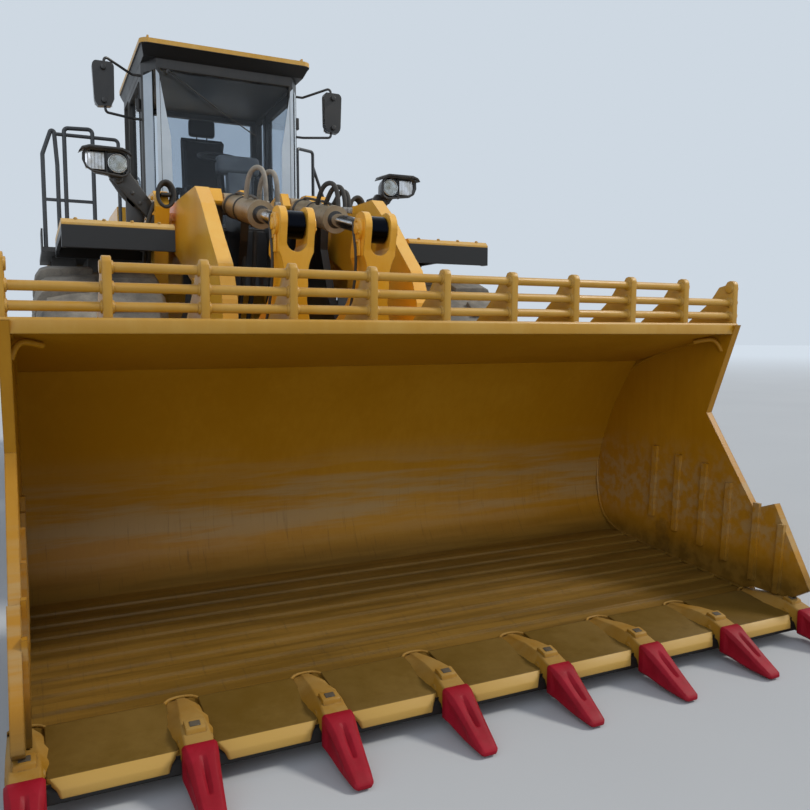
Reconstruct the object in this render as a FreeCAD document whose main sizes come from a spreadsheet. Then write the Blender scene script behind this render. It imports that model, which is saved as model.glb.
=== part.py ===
"""Wheel loader: articulated frames, Z-bar arm with two bell cranks, toothed rock bucket.

Frame of the model, in millimetres: X to the machine's left, Y to the rear, Z up, with the
origin on the ground under the middle of the machine's length and width.
"""
import FreeCAD, Part
import math
import os
import Sketcher
from FreeCAD import Placement, Rotation, Vector

doc = FreeCAD.newDocument("WheelLoader")
sheet = doc.addObject("Spreadsheet::Sheet", "Dims")


class Size(float):
    """A number that remembers the sheet formula it comes from."""

    def __new__(cls, value, formula=None):
        number = float.__new__(cls, value)
        number.formula = formula or "{:.6f}".format(value)
        return number

    def __add__(self, other):
        return Size(float(self) + float(other), "(%s + %s)" % (self.formula, formula_of(other)))

    def __radd__(self, other):
        return Size(float(other) + float(self), "(%s + %s)" % (formula_of(other), self.formula))

    def __sub__(self, other):
        return Size(float(self) - float(other), "(%s - %s)" % (self.formula, formula_of(other)))

    def __rsub__(self, other):
        return Size(float(other) - float(self), "(%s - %s)" % (formula_of(other), self.formula))

    def __mul__(self, other):
        return Size(float(self) * float(other), "(%s * %s)" % (self.formula, formula_of(other)))

    def __rmul__(self, other):
        return self * other

    def __truediv__(self, other):
        return Size(float(self) / float(other), "(%s / %s)" % (self.formula, formula_of(other)))

    def __neg__(self):
        return Size(-float(self), "(0 - %s)" % self.formula)


def formula_of(number):
    return number.formula if isinstance(number, Size) else "{:.6f}".format(number)


def length_of(dy, dz):
    """Length of a slanted run, as a formula of its two legs."""
    dy, dz = dy + Size(0), dz + Size(0)
    return Size(math.hypot(dy, dz), "sqrt(%s ^ 2 + %s ^ 2)" % (dy.formula, dz.formula))


def angle_of(rise, run):
    """Angle in degrees whose tangent is rise over run."""
    rise, run = rise + Size(0), run + Size(0)
    return Size(math.degrees(math.atan2(rise, run)), "atan2(%s; %s)" % (rise.formula, run.formula))


# Driving dimensions: name, value in millimetres or degrees
DIMENSIONS = (
    # Whole machine
    ("rear_reach", 4725),
    ("wheelbase", 3800),
    ("front_axle_y", -1345),
    ("hinge_from_axle", 1900),
    ("running_gap", 0.3),
    # Wheels
    ("tyre_radius", 968),
    ("tyre_width", 770),
    ("track", 2480),
    ("rim_radius", 330),
    ("rim_width", 600),
    ("lug_depth", 38),
    ("bar_inner_x", 45),
    ("bar_width", 166),
    ("disc_x", 120),
    ("axle_radius", 175),
    ("hub_radius", 210),
    ("hub_cap_radius", 150),
    ("fender_outer_x", 1460),
    # Bucket
    ("bucket_width", 3500),
    ("bucket_wall", 30),
    ("side_wall", 40),
    ("bucket_pin_y", -2775),
    ("bucket_pin_z", 460),
    ("link_lug_y", -2845),
    ("link_lug_z", 900),
    ("edge_y", -4440),
    ("tooth_reach", 285),
    ("edge_z", 113),
    ("blade_length", 330),
    ("blade_thickness", 60),
    ("floor_end_y", -3050),
    ("floor_end_z", 235),
    ("back_y", -2905),
    ("back_z", 620),
    ("heel_rise", 56),
    ("back_rise", 52),
    ("back_top_y", -3255),
    ("back_top_z", 1330),
    ("lip_y", -3958),
    ("lip_z", 1506),
    ("tip_z", 8),
    ("outer_tooth_inset", 35),
    ("tooth_width", 115),
    ("tooth_length", 255),
    ("groove_width", 36),
    ("groove_depth", 14),
    ("strip_pitch", 122),
    ("strip_width", 62),
    ("strip_rise", 12),
    # Guard over the bucket's lip
    ("outer_post_inset", 10),
    ("post_thickness", 34),
    ("rail_radius", 19),
    ("top_rail_z", 1733),
    ("mid_rail_z", 1660),
    ("low_rail_z", 1590),
    # Lift arms
    ("arm_pin_y", -825),
    ("arm_pin_z", 2280),
    ("arm_x", 570),
    ("arm_thickness", 90),
    ("arm_boss_radius", 175),
    ("crank_pin_y", -2265),
    ("crank_pin_z", 1450),
    ("cross_tube_radius", 85),
    ("pin_radius", 45),
    # Bell cranks and links
    ("crank_x", 258),
    ("crank_width", 205),
    ("neck_width", 150),
    ("fork_gap", 120),
    ("crank_top_y", -2565),
    ("crank_top_z", 2120),
    ("crank_low_y", -2065),
    ("crank_low_z", 740),
    ("link_room", 230),
    # Cylinders
    ("tilt_base_y", -985),
    ("tilt_base_z", 2470),
    ("tilt_barrel_radius", 84),
    ("tilt_rod_radius", 45),
    ("lift_base_y", -525),
    ("lift_base_z", 900),
    ("lift_eye_y", -1805),
    ("lift_eye_z", 1600),
    ("lift_eye_radius", 100),
    ("eye_room", 38),
    ("lift_barrel_radius", 92),
    ("lift_rod_radius", 52),
    ("steer_barrel_radius", 62),
    ("steer_rod_radius", 30),
    # Frames
    ("plate_x", 420),
    ("plate_thickness", 60),
    ("tower_x", 710),
    ("tower_thickness", 100),
    ("hinge_pin_radius", 60),
    ("hinge_lug_radius", 150),
    ("low_hinge_z", 640),
    ("high_hinge_z", 1420),
    ("hinge_plate", 80),
    ("rear_plate_x", 400),
    ("rear_plate_thickness", 50),
    # Cab
    ("cab_front_y", 120),
    ("cab_length", 1500),
    ("cab_half_width", 700),
    ("cab_front_half", 600),
    ("cab_corner", 200),
    ("cab_floor_z", 2060),
    ("cab_top_z", 3830),
    ("cab_wall", 60),
    ("sill_z", 2780),
    ("roof_half_width", 740),
    ("roof_thickness", 140),
    ("platform_half_width", 1536),
    ("platform_z", 2180),
    ("platform_front_y", 260),
    # Lamps and mirrors
    ("lamp_y", -995),
    ("lamp_z", 2725),
    ("mirror_low_z", 3400),
    ("mirror_high_z", 3760),
    # Hood and tail
    ("hood_front_y", 1800),
    ("hood_half_width", 780),
    ("hood_low_z", 1560),
    ("hood_front_z", 2820),
    ("hood_rear_z", 2520),
    ("hood_wall", 30),
    ("hood_pin_radius", 25),
    ("grille_half_width", 520),
    ("tail_half_width", 1330),
    ("tail_low_z", 820),
    ("tail_top_z", 1540),
    ("tow_bore_radius", 30),
)


class Sizes:
    """The sheet's cells, by name."""


dim = Sizes()
for line, (name, value) in enumerate(DIMENSIONS, start=1):
    sheet.set("A%d" % line, name)
    sheet.set("B%d" % line, str(value))
    sheet.setAlias("B%d" % line, name)
    setattr(dim, name, Size(value, "Dims." + name))
doc.recompute()


# Building helpers
def bind(item, field, size):
    if isinstance(size, Size):
        item.setExpression(field, size.formula)
        return
    if field.startswith("Placement.Base."):
        base = item.Placement.Base
        setattr(base, field[-1], float(size))
        item.Placement = Placement(base, item.Placement.Rotation)
        return
    setattr(item, field, float(size))


def move_to(item, x, y, z):
    for axis, place in (("x", x), ("y", y), ("z", z)):
        bind(item, "Placement.Base." + axis, place)
    return item


def box(x_range, y_range, z_range, name="block"):
    item = doc.addObject("Part::Box", name)
    bind(item, "Length", x_range[1] - x_range[0])
    bind(item, "Width", y_range[1] - y_range[0])
    bind(item, "Height", z_range[1] - z_range[0])
    return move_to(item, x_range[0], y_range[0], z_range[0])


def cylinder(radius, height, name="round"):
    item = doc.addObject("Part::Cylinder", name)
    bind(item, "Radius", radius)
    bind(item, "Height", height)
    return item


def pin_x(x_range, y, z, radius, name="pin"):
    """A round bar along X."""
    item = cylinder(radius, x_range[1] - x_range[0], name)
    item.Placement.Rotation = Rotation(Vector(0, 1, 0), 90)
    return move_to(item, x_range[0], y, z)


def pin_z(x, y, z_range, radius, name="post"):
    """A round bar along Z."""
    return move_to(cylinder(radius, z_range[1] - z_range[0], name), x, y, z_range[0])


def rod_yz(x, start, end, radius, name="rod"):
    """A round bar between two points of a plane of constant X."""
    dy, dz = end[0] - start[0], end[1] - start[1]
    item = cylinder(radius, length_of(dy, dz), name)
    item.Placement.Rotation = Rotation(Vector(1, 0, 0), 1)
    bind(item, "Placement.Rotation.Angle", angle_of(-dy, dz))
    return move_to(item, x, start[0], start[1])


def along(start, end, share):
    """The point at a length along the line from start to end."""
    dy, dz = end[0] - start[0], end[1] - start[1]
    run = length_of(dy, dz)
    return (start[0] + dy * (share / run), start[1] + dz * (share / run))


def outline(points, name="outline", part=None):
    """A closed sketch through points; a third value is the rise of the arc that reaches it.

    A positive rise bulges to the right of the walk and a negative one to the left.
    """
    sketch = (part.newObject if part else doc.addObject)("Sketcher::SketchObject", name)
    corners = [Vector(float(p[0]), float(p[1]), 0) for p in points]
    edges = []
    ends = []
    for index, point in enumerate(points):
        start, end = corners[index - 1], corners[index]
        ends.append((1, 2))
        if len(point) < 3:
            edges.append(Part.LineSegment(start, end))
            continue
        chord = end - start
        side = Vector(chord.y, -chord.x, 0).normalize()
        middle = (start + end) / 2 + side * float(point[2])
        if point[2] > 0:
            edges.append(Part.Arc(start, middle, end))
        else:
            edges.append(Part.Arc(end, middle, start))
            ends[index] = (2, 1)
    sketch.addGeometry(edges, False)
    rules = []
    bound = []
    for index, point in enumerate(points):
        first, last = ends[index]
        for kind, place in (("DistanceX", point[0]), ("DistanceY", point[1])):
            bound.append((len(rules), place))
            rules.append(Sketcher.Constraint(kind, -1, 1, index, last, float(place)))
        rules.append(Sketcher.Constraint("Coincident", index - 1 if index else len(points) - 1,
                                         ends[index - 1][1], index, first))
        if len(point) == 3:
            radius = arc_radius(points[index - 1], point)
            bound.append((len(rules), radius))
            rules.append(Sketcher.Constraint("Radius", index, float(radius)))
    sketch.addConstraint(rules)
    for number, place in bound:
        if isinstance(place, Size):
            sketch.setExpression("Constraints[%d]" % number, place.formula)
    return sketch


def arc_radius(start, end):
    """Radius of the arc between two points whose rise is end's third value."""
    rise = Size(0) + (-end[2] if end[2] < 0 else end[2])
    dx, dy = end[0] - start[0], end[1] - start[1]
    return (dx * dx + dy * dy) / (rise * 8) + rise / 2


PLANES = {
    "YZ": (Rotation(Vector(1, 1, 1), 120), "x"),
    "XZ": (Rotation(Vector(1, 0, 0), 90), "y"),
    "XY": (Rotation(), "z"),
}


def slab(plane, points, span, name="slab"):
    """An outline in a plane, given depth between the two places of span."""
    item = doc.addObject("Part::Extrusion", name)
    item.Base = outline(points, name + "_outline")
    item.DirMode = "Custom"
    item.Dir = Vector(0, 0, 1)
    item.Solid = True
    bind(item, "LengthFwd", span[1] - span[0])
    turn, axis = PLANES[plane]
    item.Placement.Rotation = turn
    bind(item, "Placement.Base." + axis, span[1] if plane == "XZ" else span[0])
    return item


def plate(points, span, name="plate"):
    return slab("YZ", points, span, name)


def join(items, name="joined"):
    if len(items) == 1:
        return items[0]
    item = doc.addObject("Part::MultiFuse", name)
    item.Shapes = items
    item.Refine = True
    return item


def cut(base, tools, name="trimmed"):
    item = doc.addObject("Part::Cut", name)
    item.Base = base
    item.Tool = join(tools, name + "_tools")
    item.Refine = True
    return item


def group(items, name="set"):
    """Solids of one node that do not touch."""
    item = doc.addObject("Part::Compound", name)
    item.Links = items
    return item


def mirrored(item, name="mirrored"):
    """The same piece on the machine's other side."""
    copy = doc.addObject("Part::Mirroring", name)
    copy.Source = item
    copy.Normal = Vector(1, 0, 0)
    return copy


def both_sides(item, name="pair"):
    return group([item, mirrored(item, name + "_other")], name)


def both_joined(item, others, name="joined"):
    return join([item, mirrored(item, name + "_other")] + others, name)


nodes = []


def node(item, label):
    item.Label = label
    nodes.append(item)
    return item


ZERO = Size(0)
hinge_y = dim.front_axle_y + dim.hinge_from_axle
rear_axle_y = dim.front_axle_y + dim.wheelbase
gap = dim.running_gap
arm_span = (dim.arm_x, dim.arm_x + dim.arm_thickness)
arm_pin = (dim.arm_pin_y, dim.arm_pin_z)
bucket_pin = (dim.bucket_pin_y, dim.bucket_pin_z)
link_lug = (dim.link_lug_y, dim.link_lug_z)
crank_pin = (dim.crank_pin_y, dim.crank_pin_z)
crank_top = (dim.crank_top_y, dim.crank_top_z)
crank_low = (dim.crank_low_y, dim.crank_low_z)
tilt_base = (dim.tilt_base_y, dim.tilt_base_z)
lift_base = (dim.lift_base_y, dim.lift_base_z)
lift_eye = (dim.lift_eye_y, dim.lift_eye_z)
crank_span = (dim.crank_x - dim.crank_width / 2, dim.crank_x + dim.crank_width / 2)
eye_span = (dim.crank_x - dim.fork_gap / 2 + 10, dim.crank_x + dim.fork_gap / 2 - 10)
fork_span = (dim.crank_x - dim.fork_gap / 2, dim.crank_x + dim.fork_gap / 2)


# Wheels
BARS_PER_ROW = 18
BAR_TURN = 360.0 / BARS_PER_ROW


def spun(section, name):
    """A closed section in X and radius, turned about the X axis."""
    item = doc.addObject("Part::Revolution", name)
    item.Source = outline(section, name + "_section")
    item.Axis = Vector(1, 0, 0)
    item.Angle = 360
    item.Solid = True
    return item


def tread_bars(side):
    """One row of tread bars, from near the middle of the crown down over the shoulder."""
    half = dim.tyre_width / 2
    crown = dim.tyre_radius
    section = outline([
        (side * dim.bar_inner_x, crown - 90), (side * (half - 30), crown - 200),
        (side * (half - 12), crown - 150),
        (side * (half - 34), crown - 16), (side * (half - 75), crown), (side * dim.bar_inner_x, crown),
    ], "tread_bar_section")
    bars = []
    first = 0 if side > 0 else BAR_TURN / 2
    for number in range(BARS_PER_ROW):
        bar = doc.addObject("Part::Extrusion", "tread_bar")
        bar.Base = section
        bar.DirMode = "Custom"
        bar.Dir = Vector(0, 0, 1)
        bar.Solid = True
        bar.Symmetric = True
        bind(bar, "LengthFwd", dim.bar_width)
        bar.Placement.Rotation = Rotation(Vector(1, 0, 0), first + number * BAR_TURN) * PLANES["XZ"][0]
        bars.append(bar)
    return bars


def make_tyre():
    """A tyre about the X axis: bead, sidewall, shoulder and crown, with two rows of bars."""
    half = dim.tyre_width / 2
    tread = dim.tyre_radius - dim.lug_depth
    bead = dim.rim_radius + gap
    bead_x = dim.rim_width / 2 - 15
    right = [(bead_x, bead), (half - 12, bead + 130), (half, bead + 270), (half - 42, tread - 40),
             (half - 110, tread)]
    left = [(-p[0], p[1]) for p in reversed(right)]
    return join([spun(right + left, "tyre")] + tread_bars(1) + tread_bars(-1), "tyre_whole")


def make_rim(side):
    """A rim about the X axis: barrel, side flanges and the dished disc that the hub carries."""
    half = dim.rim_width / 2
    bead = dim.rim_radius
    disc = side * dim.disc_x
    rim = doc.addObject("PartDesign::Body", "rim")
    section = outline([
        (-half - 22, bead - 62), (-half - 22, bead + 20), (-half - 4, bead + 20), (-half - 4, bead),
        (half + 4, bead), (half + 4, bead + 20), (half + 22, bead + 20), (half + 22, bead - 62),
        (half - 30, bead - 24), (disc + 52, bead - 24), (disc + 20, bead - 70),
        (disc + 20, dim.hub_cap_radius + gap),
        (disc - 20, dim.hub_cap_radius + gap), (disc - 20, bead - 70), (disc - 52, bead - 24),
        (-half + 30, bead - 24),
    ], "rim_section", rim)
    turned = rim.newObject("PartDesign::Revolution", "rim_turned")
    turned.Profile = section
    turned.ReferenceAxis = (section, ["H_Axis"])
    turned.Angle = 360
    rim.Tip = turned
    return rim


def placed(item, x, y, z, label):
    """A copy of a piece that stands at another place."""
    return node(move_to(group([item], label), x, y, z), label)


tyre = make_tyre()
for side_name, side in (("left", 1), ("right", -1)):
    rim = make_rim(side)
    for axle_name, axle_y in (("front", dim.front_axle_y), ("rear", rear_axle_y)):
        place = (side * dim.track / 2, axle_y, dim.tyre_radius)
        placed(tyre, *place, "tyre_%s_%s" % (axle_name, side_name))
        placed(rim, *place, "rim_%s_%s" % (axle_name, side_name))
doc.recompute()


# Bucket


def shell_points(offset):
    """The shell's section from the cutting edge round the back to the lip, moved outwards."""
    return [
        (dim.edge_y, dim.edge_z - offset * 0.5),
        (dim.floor_end_y, dim.floor_end_z - offset),
        (dim.back_y + offset, dim.back_z, dim.heel_rise),
        (dim.back_top_y + offset * 0.9, dim.back_top_z + offset * 0.4, dim.back_rise),
        (dim.lip_y, dim.lip_z + offset),
    ]


inner = shell_points(ZERO)
outer = shell_points(dim.bucket_wall)
half_bucket = dim.bucket_width / 2
TOOTH_SHARE = (48, 350)
POST_STEPS = 5
tooth_pitch = dim.bucket_width * TOOTH_SHARE[0] / TOOTH_SHARE[1]
post_pitch = (half_bucket - dim.outer_post_inset) / POST_STEPS
shell_walk = outer + [
    inner[4], inner[3][:2], inner[2][:2] + (-dim.back_rise,), inner[1] + (-dim.heel_rise,), inner[0],
]
shell = plate(shell_walk, (-half_bucket, half_bucket), "shell")
cheek_walk = [
    (dim.edge_y, dim.edge_z - 15), (dim.floor_end_y, dim.floor_end_z - 30),
    (dim.back_y + 30, dim.back_z, dim.heel_rise),
    (dim.back_top_y + 27, dim.back_top_z + 12, dim.back_rise), (dim.lip_y, dim.lip_z + 30),
    (dim.lip_y - 32, dim.lip_z + 34),
    (dim.lip_y + 145, dim.lip_z - 445), (dim.edge_y + 300, dim.edge_z + 490),
    (dim.edge_y + 160, dim.edge_z + 250),
    (dim.edge_y + 40, dim.edge_z + 60),
]
cheek = plate(cheek_walk, (half_bucket - dim.side_wall, half_bucket), "cheek")
floor_slope = (dim.floor_end_z - dim.edge_z) / (dim.floor_end_y - dim.edge_y)
blade_top_front = (dim.edge_y - 12, dim.edge_z - 22)
blade_top_rear = (dim.edge_y + dim.blade_length, dim.edge_z + 6 + floor_slope * dim.blade_length)
blade_low_front = (dim.edge_y - 25, dim.edge_z + 6 - dim.blade_thickness)
blade_low_rear = (blade_top_rear[0], blade_top_rear[1] - dim.blade_thickness)
cutting_edge = plate([blade_low_front, blade_low_rear, blade_top_rear, (dim.edge_y + 30, dim.edge_z + 8),
                      blade_top_front], (-half_bucket, half_bucket), "cutting_edge")
hinge_lug_walk = [
    (dim.bucket_pin_y, dim.bucket_pin_z - 130), (dim.bucket_pin_y + 113, dim.bucket_pin_z + 65, 45),
    (dim.back_y + 45, dim.back_z + 300), (dim.back_y - 20, dim.back_z + 250), (dim.back_y + 15, dim.back_z),
    (dim.floor_end_y + 40, dim.floor_end_z - 10),
]
lug = 60
lug_gap = 10
hinge_lugs = [
    plate(hinge_lug_walk, (arm_span[0] - lug_gap - lug, arm_span[0] - lug_gap), "hinge_lug"),
    plate(hinge_lug_walk, (arm_span[1] + lug_gap, arm_span[1] + lug_gap + lug), "hinge_lug"),
]
link_lug_walk = [
    (dim.link_lug_y - 60, dim.link_lug_z - 180), (dim.link_lug_y + 50, dim.link_lug_z - 75),
    (dim.link_lug_y + 85, dim.link_lug_z, 12), (dim.link_lug_y + 20, dim.link_lug_z + 88, 18),
    (dim.back_top_y + 170, dim.back_top_z - 230), (dim.back_y - 90, dim.back_z + 300),
    (dim.back_y + 5, dim.back_z + 60),
]
link_pin = pin_x((fork_span[0] - 60, fork_span[1] + 60), *link_lug, dim.pin_radius, "link_pin")
link_lugs = [
    plate(link_lug_walk, (fork_span[0] - 50, fork_span[0]), "link_lug"),
    plate(link_lug_walk, (fork_span[1], fork_span[1] + 50), "link_lug"),
]
hinge_pin = pin_x((arm_span[0] - lug_gap - lug - 20, arm_span[1] + lug_gap + lug + 20), *bucket_pin,
                  dim.pin_radius, "bucket_pin")
room_walk = [inner[0], inner[1], inner[2], inner[3], inner[4], (dim.edge_y, dim.lip_z)]
bucket_room = plate(room_walk, (-half_bucket, half_bucket), "bucket_room")
# Wear strips across the floor, and bars on the cheeks' inner faces
def floor_z(y):
    """Height of the bucket's floor at a place along it."""
    return dim.edge_z + floor_slope * (y - dim.edge_y)


# Wear strips across the floor
STRIPS = 8
strips = []
for number in range(STRIPS):
    front = dim.edge_y + dim.blade_length + 70 + number * dim.strip_pitch
    rear = front + dim.strip_width
    strip_walk = [(front, floor_z(front) - 4), (rear, floor_z(rear) - 4),
                  (rear, floor_z(rear) + dim.strip_rise),
                  (front + 6, floor_z(front) + dim.strip_rise)]
    strips.append(plate(strip_walk, (-half_bucket + dim.side_wall - 2, half_bucket - dim.side_wall + 2),
                        "floor_strip"))

# Place along the bucket, low end and high end of each bar
CHEEK_BARS = ((-3455, 400, 830), (-3640, 350, 800), (-3835, 310, 780), (-4005, 270, 700), (-4190, 215, 625),
              (-4340, 185, 545))
cheek_bars = []
for y, low, high in CHEEK_BARS:
    bar_walk = [(y + 14, low), (y + 50, low), (y + 30, high), (y - 6, high)]
    cheek_bars.append(plate(bar_walk, (half_bucket - dim.side_wall - 18, half_bucket - dim.side_wall + 2),
                            "cheek_bar"))
cutter_walk = [(dim.edge_y + 95, dim.edge_z + 45), (dim.edge_y + 304, dim.edge_z + 472),
               (dim.edge_y + 167, dim.edge_z + 525),
               (dim.edge_y - 50, dim.edge_z + 138)]
side_cutter = plate(cutter_walk, (half_bucket - dim.side_wall, half_bucket), "side_cutter")

tooth_places = [
    tooth_pitch * 0.5, tooth_pitch * 1.5, tooth_pitch * 2.5,
    half_bucket - dim.outer_tooth_inset,
]
tip_y = dim.edge_y - dim.tooth_reach
root_y = tip_y + dim.tooth_length
tooth_walk = [
    (tip_y, dim.tip_z), (tip_y + 120, dim.tip_z + 4), (root_y, dim.tip_z + 28), (root_y, dim.tip_z + 150),
    (root_y - 75, dim.tip_z + 152), (tip_y + 60, dim.tip_z + 46), (tip_y + 4, dim.tip_z + 16),
]
adapter_walk = [
    (root_y, dim.tip_z + 30), blade_low_front, blade_top_front, (dim.edge_y + 30, dim.edge_z + 8),
    blade_top_rear,
    (blade_top_rear[0], blade_top_rear[1] + 12), (blade_top_rear[0] - 60, blade_top_rear[1] + 30),
    (root_y + 120, dim.tip_z + 172), (root_y, dim.tip_z + 150),
]


def tooth(centre):
    """A pointed cap: its side outline cut by its outline from above, with a channel in its top."""
    half = dim.tooth_width / 2
    plan = [(centre - half, root_y), (centre - half, root_y - 80), (centre - half + 14, tip_y + 60),
            (centre - half + 28, tip_y),
            (centre + half - 28, tip_y), (centre + half - 14, tip_y + 60), (centre + half, root_y - 80),
            (centre + half, root_y)]
    blank = doc.addObject("Part::MultiCommon", "tooth_blank")
    blank.Shapes = [plate(tooth_walk, (centre - half, centre + half), "tooth_side"),
                    slab("XY", plan, (ZERO, dim.tip_z + 200), "tooth_plan")]
    start, end = (tip_y + 70, dim.tip_z + 60), (root_y - 70, dim.tip_z + 162)
    groove_walk = [start, end, (end[0] - 30, end[1] + 60), (start[0] - 30, start[1] + 60)]
    deeper = [(y + 5, z - dim.groove_depth) for y, z in groove_walk]
    return cut(blank, [plate(deeper, (centre - dim.groove_width / 2, centre + dim.groove_width / 2),
                             "groove")], "tooth")


teeth = []
adapters = []
for place in tooth_places:
    for centre in (place, -place):
        half_adapter = dim.tooth_width / 2 - 8
        teeth.append(tooth(centre))
        adapters.append(plate(adapter_walk, (centre - half_adapter, centre + half_adapter), "adapter"))
node(group(teeth, "teeth"), "bucket_teeth")
node(group(adapters, "adapters"), "tooth_adapters")

lug_side = join([cheek, side_cutter, cut(join(hinge_lugs + link_lugs + [hinge_pin, link_pin]),
                                         [bucket_room])] + cheek_bars,
                "bucket_side")
node(cut(both_joined(lug_side, [shell, cutting_edge] + strips, "bucket_whole"), adapters, "bucket_seated"),
     "bucket_shell")

posts = []
guard_foot_z = dim.lip_z + dim.bucket_wall
post_walk = [
    (dim.lip_y, guard_foot_z), (dim.lip_y, dim.top_rail_z + 25), (dim.lip_y + 30, dim.top_rail_z + 42),
    (dim.lip_y + 100, dim.top_rail_z + 15), (dim.lip_y + 130, dim.top_rail_z - 25),
    (dim.back_top_y - 382, guard_foot_z + 15), (dim.back_top_y - 400, guard_foot_z - 12),
]
for step in range(-5, 6):
    centre = post_pitch * step
    post_span = (centre - dim.post_thickness / 2, centre + dim.post_thickness / 2)
    posts.append(plate(post_walk, post_span, "guard_post"))
rail_end = post_pitch * POST_STEPS
guard_bar = box((-half_bucket, half_bucket), (dim.lip_y - 14, dim.lip_y + 60),
                (guard_foot_z - 44, guard_foot_z + 14))
rails = [pin_x((-rail_end, rail_end), dim.lip_y + 30, dim.low_rail_z, dim.rail_radius),
         pin_x((-rail_end, rail_end), dim.lip_y + 30, dim.mid_rail_z, dim.rail_radius),
         pin_x((-post_pitch * 4, post_pitch * 4), dim.lip_y + 30, dim.top_rail_z, dim.rail_radius)]
guard = cut(join(posts + rails + [guard_bar], "guard_whole"),
            [plate(shell_walk, (-half_bucket, half_bucket)), cheek, mirrored(cheek)])
node(guard, "spill_guard")
doc.recompute()


# Lift arms
arm_walk = [
    (dim.arm_pin_y, dim.arm_pin_z + dim.arm_boss_radius, 60), (-1780, 2440), (-1960, 2310), (-2225, 2060),
    (-2410, 1900), (-2505, 1690), (-2515, 1500), (-2590, 1250),
    (dim.bucket_pin_y - 5, dim.bucket_pin_z + 140, -31),
    (dim.bucket_pin_y - 84, dim.bucket_pin_z + 50),
    (dim.bucket_pin_y + 70, dim.bucket_pin_z - 68, 76), (-2360, 960), (-2060, 1420), (-1790, 1770),
    (dim.arm_pin_y - 60, dim.arm_pin_z - dim.arm_boss_radius + 10),
    (dim.arm_pin_y + dim.arm_boss_radius, dim.arm_pin_z, 60),
]
arm_plate = plate(arm_walk, arm_span, "arm_plate")
cheek_gap = 110
lift_cheek = [
    (dim.lift_eye_y - 90, dim.lift_eye_z - 60), (dim.lift_eye_y + 60, dim.lift_eye_z - 90, 32),
    (dim.lift_eye_y + 105, dim.lift_eye_z, 14), (dim.lift_eye_y + 70, dim.lift_eye_z + 260),
    (dim.lift_eye_y - 200, dim.lift_eye_z + 160),
]
cheeks = [plate(lift_cheek, (arm_span[0] - 25, arm_span[0]), "lift_cheek"),
          plate(lift_cheek, (arm_span[1], arm_span[1] + 25), "lift_cheek")]
eye_space = pin_x((arm_span[0], arm_span[1]), *lift_eye, dim.lift_eye_radius + dim.eye_room)
arm_pin_bore = pin_x((arm_span[0] - 100, arm_span[1] + 100), *arm_pin, dim.pin_radius + gap)
bucket_pin_bore = pin_x((arm_span[0] - 100, arm_span[1] + 100), *bucket_pin, dim.pin_radius + gap)
arm_boss = pin_x((arm_span[0] - 50, arm_span[1] + 40), *arm_pin, 120)
arm = cut(join([cut(arm_plate, [eye_space])] + cheeks + [arm_boss]), [arm_pin_bore, bucket_pin_bore], "arm")
cross_tube = pin_x((-dim.arm_x, dim.arm_x), *crank_pin, dim.cross_tube_radius, "cross_tube")
node(both_joined(arm, [cross_tube], "lift_arms"), "lift_arms")

# Bell cranks
crank_walk = [
    (dim.crank_top_y - 100, dim.crank_top_z, 38), (-2635, 1990), (-2600, 1750), (-2530, 1540),
    (dim.crank_pin_y - 150, dim.crank_pin_z - 60, 20), (dim.crank_pin_y + 20, dim.crank_pin_z - 175, 40),
    (dim.crank_low_y - 110, dim.crank_low_z + 20), (dim.crank_low_y + 105, dim.crank_low_z - 30, 85),
    (dim.crank_low_y + 95, dim.crank_low_z + 60), (dim.crank_pin_y + 185, dim.crank_pin_z - 50),
    (dim.crank_pin_y + 150, dim.crank_pin_z + 110), (-2400, 1800), (-2420, 2000),
    (dim.crank_top_y + 98, dim.crank_top_z + 20), (dim.crank_top_y, dim.crank_top_z + 100, 25),
]
neck = dim.neck_width / 2
wide = dim.crank_width / 2
crank_front = [
    (dim.crank_x - wide, dim.crank_low_z - 120), (dim.crank_x + wide, dim.crank_low_z - 120),
    (dim.crank_x + wide, dim.crank_pin_z + 130), (dim.crank_x + neck, dim.crank_pin_z + 240),
    (dim.crank_x + neck, dim.crank_top_z - 330), (dim.crank_x + wide, dim.crank_top_z - 160, -14),
    (dim.crank_x + wide, dim.crank_top_z + 140), (dim.crank_x - wide, dim.crank_top_z + 140),
    (dim.crank_x - wide, dim.crank_top_z - 160), (dim.crank_x - neck, dim.crank_top_z - 330, -14),
    (dim.crank_x - neck, dim.crank_pin_z + 240), (dim.crank_x - wide, dim.crank_pin_z + 130),
]
crank_blank = doc.addObject("Part::MultiCommon", "crank_blank")
crank_blank.Shapes = [plate(crank_walk, crank_span, "crank_side"),
                      slab("XZ", crank_front, (dim.crank_top_y - 400, dim.crank_low_y + 300), "crank_front")]
fork_half = dim.fork_gap / 2
slot_low = dim.crank_top_z - 110
top_slot = slab("XZ", [
    (dim.crank_x - fork_half, slot_low), (dim.crank_x + fork_half, slot_low, fork_half * 0.8),
    (dim.crank_x + fork_half, slot_low + 400), (dim.crank_x - fork_half, slot_low + 400),
], (dim.crank_top_y - 300, dim.crank_top_y + 300), "top_slot")
low_slot = box(fork_span, (dim.crank_low_y - 300, dim.crank_low_y + 300),
               (dim.crank_low_z - 300, dim.crank_low_z + dim.link_room))
crank_bore = pin_x((crank_span[0] - 1, crank_span[1] + 1), *crank_pin, dim.cross_tube_radius + gap)
crank = cut(crank_blank, [top_slot, low_slot, crank_bore], "crank")
node(both_sides(crank, "bell_cranks"), "bell_cranks")

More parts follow.
